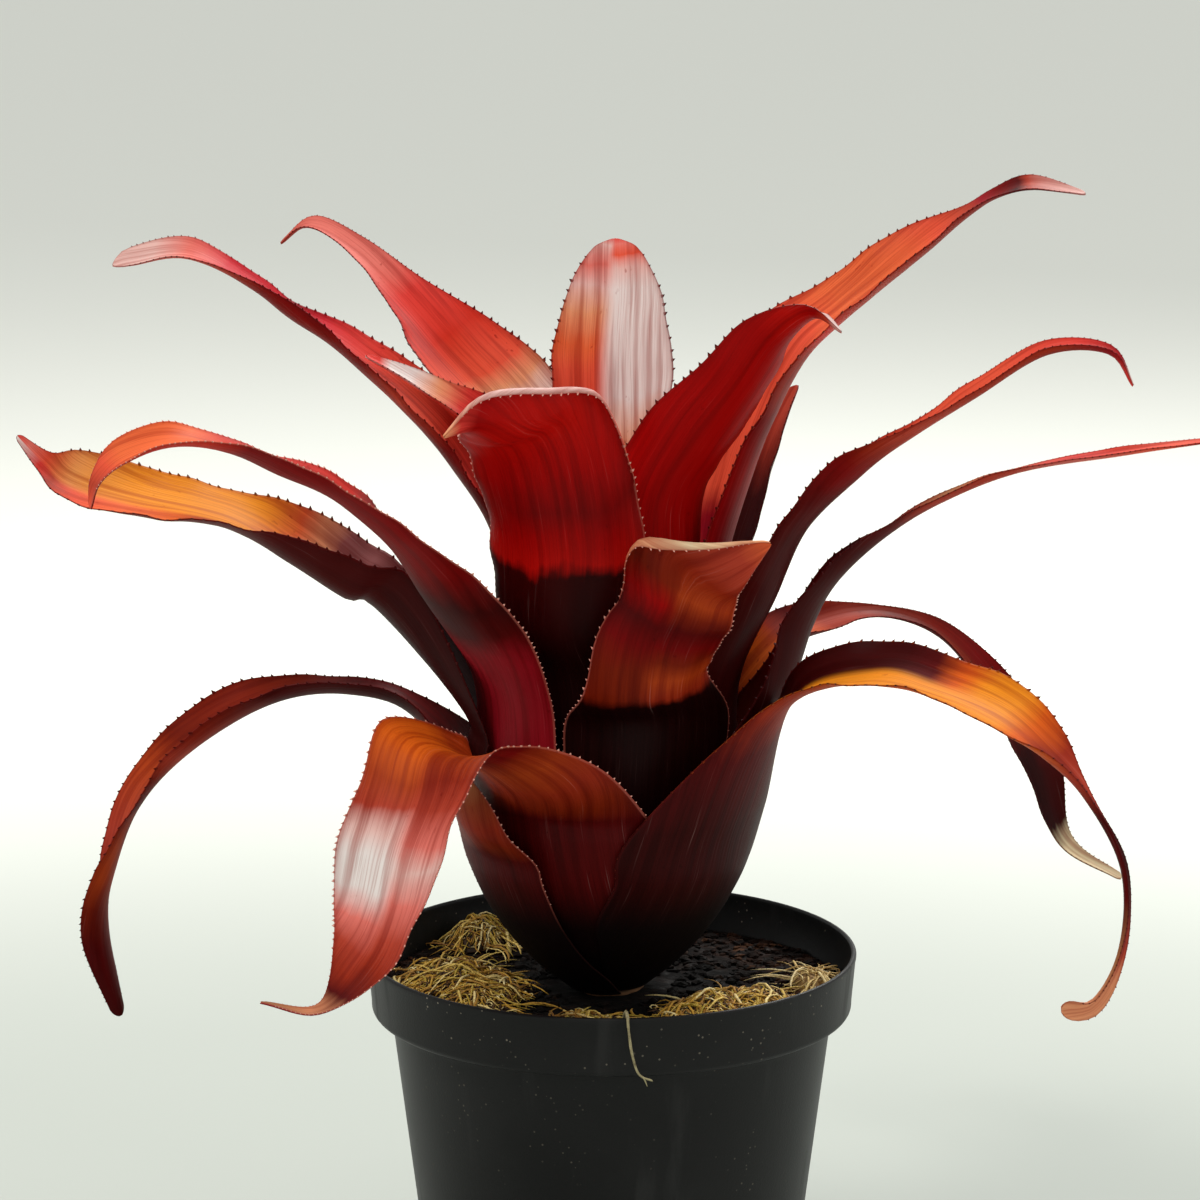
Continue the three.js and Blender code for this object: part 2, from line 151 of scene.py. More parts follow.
class Finish:
    """A procedural material that is built up node by node."""

    def __init__(self, name):
        self.material = bpy.data.materials.new(name)
        self.material.use_nodes = True
        self.nodes = self.material.node_tree.nodes
        self.nodes.clear()

    def node(self, kind, settings=None, inputs=None, output=0):
        """Adds a node. inputs is a list, or a dict by name or number, of values and wires."""
        made = self.nodes.new(kind)
        for setting, value in (settings or {}).items():
            if setting == "stops":
                fill_ramp(made.color_ramp, value)
            else:
                setattr(made, setting, value)
        pairs = inputs.items() if isinstance(inputs, dict) else enumerate(inputs or [])
        for key, value in pairs:
            if isinstance(value, Wire):
                self.material.node_tree.links.new(value.socket, made.inputs[key])
            else:
                made.inputs[key].default_value = value
        return Wire(self, made.outputs[output])

    def part(self, vector, number):
        return self.node("ShaderNodeSeparateXYZ", None, [vector], output=number)

    def carried(self, name):
        """Three numbers that the mesh carries at each point."""
        vector = self.node("ShaderNodeAttribute", {"attribute_name": name}, output="Vector")
        return [self.part(vector, i) for i in range(3)]

    def stretched(self, vector, up):
        """A vector with its height scaled."""
        return self.node("ShaderNodeMapping", None, {"Vector": vector, "Scale": (1, 1, up)})

    def length(self, vector):
        return self.node("ShaderNodeVectorMath", {"operation": "LENGTH"}, [vector], "Value")

    def vector(self, x, y, z):
        return self.node("ShaderNodeCombineXYZ", None, [x, y, z])

    def body_place(self):
        return self.node("ShaderNodeTexCoord", output="Object")

    def noise(self, vector, scale, detail):
        inputs = {"Vector": vector, "Scale": scale, "Detail": detail, "Roughness": 0.55}
        return self.node("ShaderNodeTexNoise", None, inputs, "Fac")

    def cells(self, vector, scale, output="Distance"):
        inputs = {"Vector": vector, "Scale": scale}
        return self.node("ShaderNodeTexVoronoi", {"feature": "F1"}, inputs, output)

    def ramp(self, factor, stops):
        return self.node("ShaderNodeValToRGB", {"stops": stops}, [factor])

    def mix(self, factor, first, second, mode="MIX"):
        settings = {"data_type": "RGBA", "blend_type": mode}
        return self.node("ShaderNodeMix", settings, {0: factor, 6: first, 7: second}, output=2)

    def bump(self, height, distance, strength):
        inputs = {"Height": height, "Distance": distance * MM, "Strength": strength}
        return self.node("ShaderNodeBump", None, inputs)

    def surface(self, **inputs):
        named = {name.replace("_", " "): value for name, value in inputs.items()}
        return self.node("ShaderNodeBsdfPrincipled", None, named)

    def done(self, shader):
        output = self.nodes.new("ShaderNodeOutputMaterial")
        self.material.node_tree.links.new(shader.socket, output.inputs["Surface"])
        return self.material


def fill_ramp(ramp, stops):
    """Stops are (place, colour). Blender's ramp starts with two, and holds at most 32."""
    while len(ramp.elements) > 1:
        ramp.elements.remove(ramp.elements[-1])
    ramp.elements[0].position, ramp.elements[0].color = stops[0]
    for position, color in stops[1:]:
        ramp.elements.new(position).color = color


def linear(red, green, blue):
    """A colour as seen on a screen, from 0 to 255, as the light that it stands for."""
    def decode(value):
        share = value / 255
        return share / 12.92 if share <= 0.04045 else ((share + 0.055) / 1.055) ** 2.4
    return (decode(red), decode(green), decode(blue), 1.0)


def stops(*rows):
    """The stops of a ramp, from rows of a place and a colour as seen on a screen."""
    return [(place, linear(*color)) for place, *color in rows]


# The plant's form. Leaves sit in a funnel of overlapping sheaths, one layer for each leaf.

FUNNEL_FOOT = 124.0
FUNNEL_FOOT_RADIUS = 13.0
FUNNEL_FLARE = 44.0
FUNNEL_RISE = 32.0
LAYER_PITCH = 1.6
SHEATH_RINGS = (131.0, 137.0, 144.0, 153.0, 165.0, 181.0, 200.0)
RING_ABOVE_FOOT = 2
RING_UNDER_SHOULDER = 4
SHEATH_WRAP = 1.1
STEM_RADIUS = 10.0
STEM_TAPER = 0.28
STEM_GAP = 0.8
LEAF_THICKNESS = 0.8
MARGIN_THICKNESS = 0.3
ACROSS = 24
ROW_LENGTH = 2.2
RUFFLE = 1.1
THORN_SPACING = {"dark": 3.3, "pale": 2.3}
THORN_LENGTH = {"dark": 1.0, "pale": 0.85}
THORN_BASE = 0.75
THORN_SIDES = 6
THORN_THICKNESS = 0.32
THORN_RINGS = ((-0.35, 1.0, 0.0), (0.25, 0.62, 0.12), (0.7, 0.26, 0.34))
BARE_TIP = 5.0
THORN_SEED = 500
FULL_THORN_WIDTH = 30
FULL_SPACING_WIDTH = 26
FULL_RUFFLE_WIDTH = 36
LAST_THORNLESS_ROW = -0.25
WAVE_SIZES = (0.45, 0.2, 0.5)
DENT_SIZE = 0.22
SHORTEST_NIB = 1.5
NIB_SHARE = 0.6
NIB_ROUNDNESS = 0.98
NIB_PARTS = (1.0, 0.75, 0.5, 0.3, 0.15, 0.05, 0.0)


def funnel_radius(z, layer):
    rise = 1 - math.exp(-(z - FUNNEL_FOOT) / FUNNEL_RISE)
    return FUNNEL_FOOT_RADIUS + FUNNEL_FLARE * rise - LAYER_PITCH * layer


def foot_height(layer):
    z = FUNNEL_FOOT
    while funnel_radius(z, layer) < STEM_RADIUS - STEM_TAPER * (z - FUNNEL_FOOT) + STEM_GAP:
        z += 0.25
    return z


def unit(vector):
    return vector / np.linalg.norm(vector)


def turned_about(vector, axis, angle):
    """Rodrigues' turn of a vector that is square to the axis."""
    return vector * math.cos(angle) + np.cross(axis, vector) * math.sin(angle)


def sheath_sections(leaf, layer, across):
    foot, shoulder = foot_height(layer), leaf["shoulder"]
    lowest, highest = foot + RING_ABOVE_FOOT, shoulder - RING_UNDER_SHOULDER
    between = [z for z in SHEATH_RINGS if lowest < z < highest]
    azimuth = math.radians(leaf["azimuth"])
    middles, sections = [], []
    for z in [foot, *between, shoulder]:
        radius = funnel_radius(z, layer)
        angle = azimuth - across * min(SHEATH_WRAP, leaf["sheath"] / 2 / radius)
        ring = [radius * np.cos(angle), radius * np.sin(angle), 0 * angle + z]
        sections.append(np.stack(ring, 1))
        middles.append(np.array([radius * math.cos(azimuth), radius * math.sin(azimuth), z]))
    return middles, sections


def blade_sections(leaf, middles, across):
    """Channelled arcs square to the spine, carried along it without turning, plus their roll."""
    azimuth = math.radians(leaf["azimuth"])
    points = middles + [np.array(row[:3], float) for row in leaf["spine"]]
    inward = np.array([-math.cos(azimuth), -math.sin(azimuth), 0.0])
    sections = []
    for i, (_, _, _, width, cup, roll) in enumerate(leaf["spine"], len(middles)):
        along = unit(points[min(i + 1, len(points) - 1)] - points[i - 1])
        inward = unit(inward - along * inward.dot(along))
        side = turned_about(np.cross(along, inward), along, math.radians(roll))
        up = turned_about(inward, along, math.radians(roll))
        bend = math.radians(cup)
        radius = width / 2 / bend
        centre = points[i] + up * radius * (1 + math.cos(bend)) / 2
        turn = (across * bend)[:, None]
        sections.append(centre + radius * (side * np.sin(turn) - up * np.cos(turn)))
    return sections


def smooth_curve(points, at):
    """A Catmull-Rom curve through arrays of points, at a number of steps from the first."""
    last = len(points) - 1
    i = min(int(at), last - 1)
    w = at - i
    before = points[i - 1] if i > 0 else 2 * points[0] - points[1]
    after = points[i + 2] if i + 2 <= last else 2 * points[last] - points[last - 1]
    here, there = points[i], points[i + 1]
    rise, fall = (there - before) / 2, (after - here) / 2
    bend = 3 * (there - here) - 2 * rise - fall
    twist = 2 * (here - there) + rise + fall
    return here + rise * w + bend * w * w + twist * w ** 3


def places_across():
    """Places across a leaf, closer together near its margins."""
    even = np.linspace(-1, 1, ACROSS + 1)
    return 0.4 * even + 0.6 * np.sin(even * math.pi / 2)


def leaf_grid(leaf, layer):
    """The leaf's middle surface as rows of points, and each row's place: -1 at the foot, 0 at
    the shoulder, then 1, 2 and so on at the points of the spine."""
    across = places_across()
    middles, sheath = sheath_sections(leaf, layer, across)
    sections = sheath + blade_sections(leaf, middles, across)
    shoulder = len(sheath) - 1
    last = len(sections) - 1
    middle = ACROSS // 2
    lengths = [np.linalg.norm(b[middle] - a[middle]) for a, b in zip(sections, sections[1:])]
    steps = []
    for i, length in enumerate(lengths):
        count = max(2, round(length / ROW_LENGTH))
        steps += [i + j / count for j in range(count)]
    nib = max(SHORTEST_NIB, NIB_SHARE * leaf["spine"][-1][3])
    steps = [step for step in steps if step < last - nib / lengths[-1]]
    steps += [last - nib * part / lengths[-1] for part in NIB_PARTS]
    grid = np.array([smooth_curve(sections, step) for step in steps])
    for step, row in zip(steps, grid):
        share = min(1.0, (last - step) * lengths[-1] / nib)
        narrowing = math.sqrt(1 - (NIB_ROUNDNESS - NIB_ROUNDNESS * share) ** 2)
        row[:] = row[middle] + (row - row[middle]) * narrowing
    rows = [(step - shoulder) / shoulder if step < shoulder else step - shoulder for step in steps]
    return grid, np.array(rows)


def grid_normals(grid):
    """Directions square to the leaf, on the side that faces the middle of the plant."""
    along = np.gradient(grid, axis=0)
    across = np.gradient(grid, axis=1)
    normals = np.cross(across, along)
    return normals / np.linalg.norm(normals, axis=2, keepdims=True)


def ease(value, start, end):
    share = np.clip((value - start) / (end - start), 0, 1)
    return share * share * (3 - 2 * share)


def ruffled(grid, rows, seed):
    """Lets the margins wave a little, more towards them and not in the sheath or at the tip."""
    draw = random.Random(seed)
    normals = grid_normals(grid)
    across = places_across()[None, :]
    middle = grid[:, ACROSS // 2]
    far = np.concatenate([[0], np.cumsum(np.linalg.norm(np.diff(middle, axis=0), axis=1))])
    width = np.linalg.norm(np.diff(grid, axis=1), axis=2).sum(1)
    room = ease(rows, 0.4, 1.6) * ease(rows[-1] - rows, 0.0, 0.8)
    room *= np.clip(width / FULL_RUFFLE_WIDTH, 0.2, 1)
    wave = np.zeros(grid.shape[:2])
    for side in (-1, 1):
        near = np.clip(across * side, 0, 1) ** 2.6
        phases = [draw.uniform(0, math.tau) for _ in range(3)]
        lengths = (draw.uniform(21, 27), draw.uniform(12, 15), draw.uniform(44, 60))
        waves = zip(WAVE_SIZES, lengths, phases)
        along = sum(s * np.sin(math.tau * far / l + p) for s, l, p in waves)
        wave += near * along[:, None]
    dents = np.sin(math.tau * far / draw.uniform(34, 46) + draw.uniform(0, math.tau))
    wave += DENT_SIZE * dents[:, None] * np.cos(across * draw.uniform(2.2, 3.4))
    return grid + normals * (wave * RUFFLE * room[:, None])[..., None], far, width


def rolled(grid, rows, lips):
    """Rolls stretches of margin over, towards the outer face."""
    normals = grid_normals(grid)
    for side, start, end, reach, angle in lips:
        order = slice(None, None, side)
        for i, row in enumerate(rows):
            share = (row - start) / (end - start)
            if not 0 < share < 1:
                continue
            line, inward = grid[i, order], normals[i, order]
            steps = np.linalg.norm(np.diff(line, axis=0), axis=1)
            near = np.concatenate([np.cumsum(steps[::-1])[::-1], [0.0]])
            size = min(reach * math.sin(math.pi * share) ** 0.6, 0.3 * near[0])
            flat = line.copy()
            out = unit(line[-1] - line[-3])
            bend = math.radians(angle) / size
            for k in range(len(line)):
                if near[k] < size:
                    turn = (size - near[k]) * bend
                    curl = (out * math.sin(turn) - inward[-1] * (1 - math.cos(turn))) / bend
                    line[k] = flat[-1] + curl
                elif near[k] < 2 * size:
                    at = np.interp(-2 * (near[k] - size), -near, np.arange(len(line)))
                    j = min(int(at), len(line) - 2)
                    line[k] = flat[j] + (flat[j + 1] - flat[j]) * (at - j)
    return grid


def thorn(root, out, along, normal, size):
    """A flat thorn that leans towards the tip: rings of points and the faces between them."""
    points = []
    for rise, share, lean in THORN_RINGS:
        centre = root + (out * rise + along * lean) * size
        for i in range(THORN_SIDES):
            angle = math.tau * i / THORN_SIDES
            flat = along * math.cos(angle) * THORN_BASE * share * size
            thick = normal * math.sin(angle) * THORN_THICKNESS * share
            points.append(centre + flat + thick)
    points.append(root + (out * 1.0 + along * 0.55) * size)
    last, tip = len(THORN_RINGS) - 1, len(points) - 1
    faces = [face for ring in range(last) for face in band(ring, THORN_SIDES)]
    faces += [(a, b, tip) for a, b, _, _ in band(last, THORN_SIDES)]
    faces.append(tuple(range(THORN_SIDES - 1, -1, -1)))
    return points, faces


def thorns_along(grid, rows, far, width, seed, kind):
    """Thorns on both margins, each with its side, its row and its distance from the foot."""
    draw = random.Random(seed + THORN_SEED)
    normals = grid_normals(grid)
    pieces = []
    for edge, inner, side in ((0, 2, -1.0), (ACROSS, ACROSS - 2, 1.0)):
        reach = np.interp(LAST_THORNLESS_ROW, rows, far)
        end = far[-1] - BARE_TIP
        while reach < end:
            at = float(np.interp(reach, far, np.arange(len(far))))
            i = min(int(at), len(far) - 2)
            w = at - i
            root = grid[i, edge] * (1 - w) + grid[i + 1, edge] * w
            out = unit(grid[i, edge] - grid[i, inner])
            along = unit(grid[i + 1, edge] - grid[i, edge])
            size = THORN_LENGTH[kind] * draw.uniform(0.75, 1.15)
            size *= np.clip(width[i] / FULL_THORN_WIDTH, 0.4, 1.0)
            size *= 0.55 + 0.45 * ease(rows[i], 0.0, 0.8)
            part = thorn(root, out, along, normals[i, edge] * side, size)
            row = rows[i] * (1 - w) + rows[i + 1] * w
            pieces.append((part, side, row, reach))
            step = THORN_SPACING[kind] * draw.uniform(0.8, 1.2)
            reach += step * np.clip(width[i] / FULL_SPACING_WIDTH, 0.55, 1.0)
    return pieces


def mesh_object(name, points, faces, material, smooth=True):
    """A piece made from points in millimetres."""
    mesh = bpy.data.meshes.new(name)
    mesh.from_pydata([tuple(point) for point in np.asarray(points, float) * MM], [], faces)
    mesh.materials.append(material)
    mesh.polygons.foreach_set("use_smooth", [smooth] * len(mesh.polygons))
    mesh.update()
    return added(name, mesh)


def add_part(points, faces, part):
    """Adds the points and faces of a part to those of its piece."""
    start = len(points)
    points += part[0]
    faces += [tuple(start + i for i in face) for face in part[1]]


def band(ring, sides):
    """The four-cornered faces between a ring of points and the next ring."""
    for i in range(sides):
        a, b = ring * sides + i, ring * sides + (i + 1) % sides
        yield a, b, b + sides, a + sides


def carry(piece, name, values):
    """Gives each point of a piece three numbers for its material to read."""
    attribute = piece.data.attributes.new(name, "FLOAT_VECTOR", "POINT")
    attribute.data.foreach_set("vector", np.asarray(values, np.float32).ravel())


def leaf_piece(leaf, layer, material):
    """One leaf: both faces, the rim between them and the thorns along both margins."""
    grid, rows = leaf_grid(leaf, layer)
    grid, far, width = ruffled(grid, rows, layer)
    grid = rolled(grid, rows, leaf["lips"])
    normals = grid_normals(grid)
    across = places_across()
    half = LEAF_THICKNESS / 2 - (LEAF_THICKNESS - MARGIN_THICKNESS) / 2 * np.abs(across) ** 4
    count, columns = grid.shape[:2]
    upper = grid + normals * half[None, :, None]
    under = grid - normals * half[None, :, None]
    points = [*upper.reshape(-1, 3), *under.reshape(-1, 3)]
    faces = []
    for i in range(count - 1):
        for j in range(ACROSS):
            a, b = i * columns + j, (i + 1) * columns + j
            faces.append((a, a + 1, b + 1, b))
            c, d = a + count * columns, b + count * columns
            faces.append((c, d, d + 1, c + 1))
        for j, flip in ((0, False), (ACROSS, True)):
            a, b = i * columns + j, (i + 1) * columns + j
            ring = (a, b, b + count * columns, a + count * columns)
            faces.append(ring[::-1] if flip else ring)
    for i, flip in ((0, True), (count - 1, False)):
        for j in range(ACROSS):
            a = i * columns + j
            ring = (a, a + 1, a + 1 + count * columns, a + count * columns)
            faces.append(ring[::-1] if flip else ring)
    places, grains = [], []
    for face in (1.0, 0.0):
        for i in range(count):
            for j in range(columns):
                places.append((across[j], rows[i], face))
                grains.append((across[j] * width[i] / 2, far[i], face * 40 + layer * 100))
    thorns = thorns_along(grid, rows, far, width, layer, leaf["thorns"])
    for part, side, row, reach in thorns:
        add_part(points, faces, part)
        for i in range(len(part[0])):
            places.append((side * (1.0 + 0.25 * (i // THORN_SIDES)), row, 0.5))
            grains.append((side * 30, reach, layer * 100))
    piece = mesh_object(leaf["name"] + "_blade", points, faces, material)
    carry(piece, "place", places)
    carry(piece, "grain", grains)
    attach(piece, "root")
    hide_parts(leaf["name"])
    return piece


# Leaves, from the outermost layer inwards, as in the solid model. upper and under are the shades
# of the two faces, each at a place along the leaf: -1 is the foot, 0 the shoulder, then the
# points of the spine. A face whose two halves differ has a second run of shades, _minus or
# _plus, for the other half. Beside the leaves' own colours the runs hold painted light: white
# and blush patches are painted highlights and sheens, the near-black feet, dark bands and dark
# halves are painted shade, and some bright reds and oranges on the under faces are a painted
# glow of light shining through.

# The palette of the runs below. The near-black one is used mostly as painted shade and the white
# one as painted highlight.
SHADES = {name: linear(*levels) for name, levels in {
    "SOOT": (26, 2, 2), "DUSK": (54, 6, 6), "MAROON": (84, 7, 8), "GARNET": (122, 5, 6),
    "BLOOD": (160, 2, 2), "SCARLET": (182, 12, 6), "CRIMSON": (152, 18, 32),
    "CERISE": (204, 36, 50), "RED": (208, 48, 30), "RUST": (120, 30, 6), "BRICK": (154, 44, 20),
    "EMBER": (176, 64, 20), "CLAY": (182, 66, 46), "TAN": (150, 64, 32), "FAWN": (172, 116, 76),
    "ORANGE": (222, 98, 22), "AMBER": (244, 150, 30), "APRICOT": (238, 160, 88),
    "CORAL": (238, 110, 62), "SALMON": (232, 88, 60), "ROSE": (222, 64, 56),
    "PINK": (230, 122, 110), "PEACH": (238, 162, 118), "BLUSH": (234, 192, 184),
    "CREAM": (226, 208, 168), "WHITE": (236, 228, 224), "PLUM": (92, 10, 50),
    "MAUVE": (164, 104, 104),
}.items()}


def leaf_row(name, slot, azimuth, shoulder, sheath, spine, thorns="dark", lips=(), **faces):
    """A leaf from its sheath and its spine. The sheath has an azimuth in degrees from +X, the
    height of its shoulder and a width. The spine's points have x, y, z, width, half of the
    channel's bend, and roll. lips are stretches of margin that curl over: side, start, end,
    reach in millimetres and angle."""
    points = [tuple(float(number) for number in point.split()) for point in spine.split(",")]
    return dict(
        faces, name="leaf_" + name, slot="leaf_" + slot, azimuth=azimuth, shoulder=shoulder,
        sheath=sheath, spine=points, thorns=thorns, lips=lips,
    )


BACK_UPPER = "-1 PLUM, 1 CRIMSON, 3 SALMON, 4.4 ORANGE, 5 GARNET"
BACK_UNDER = "-1 SOOT, 1 DUSK, 3 MAROON, 4 GARNET, 5 CRIMSON"

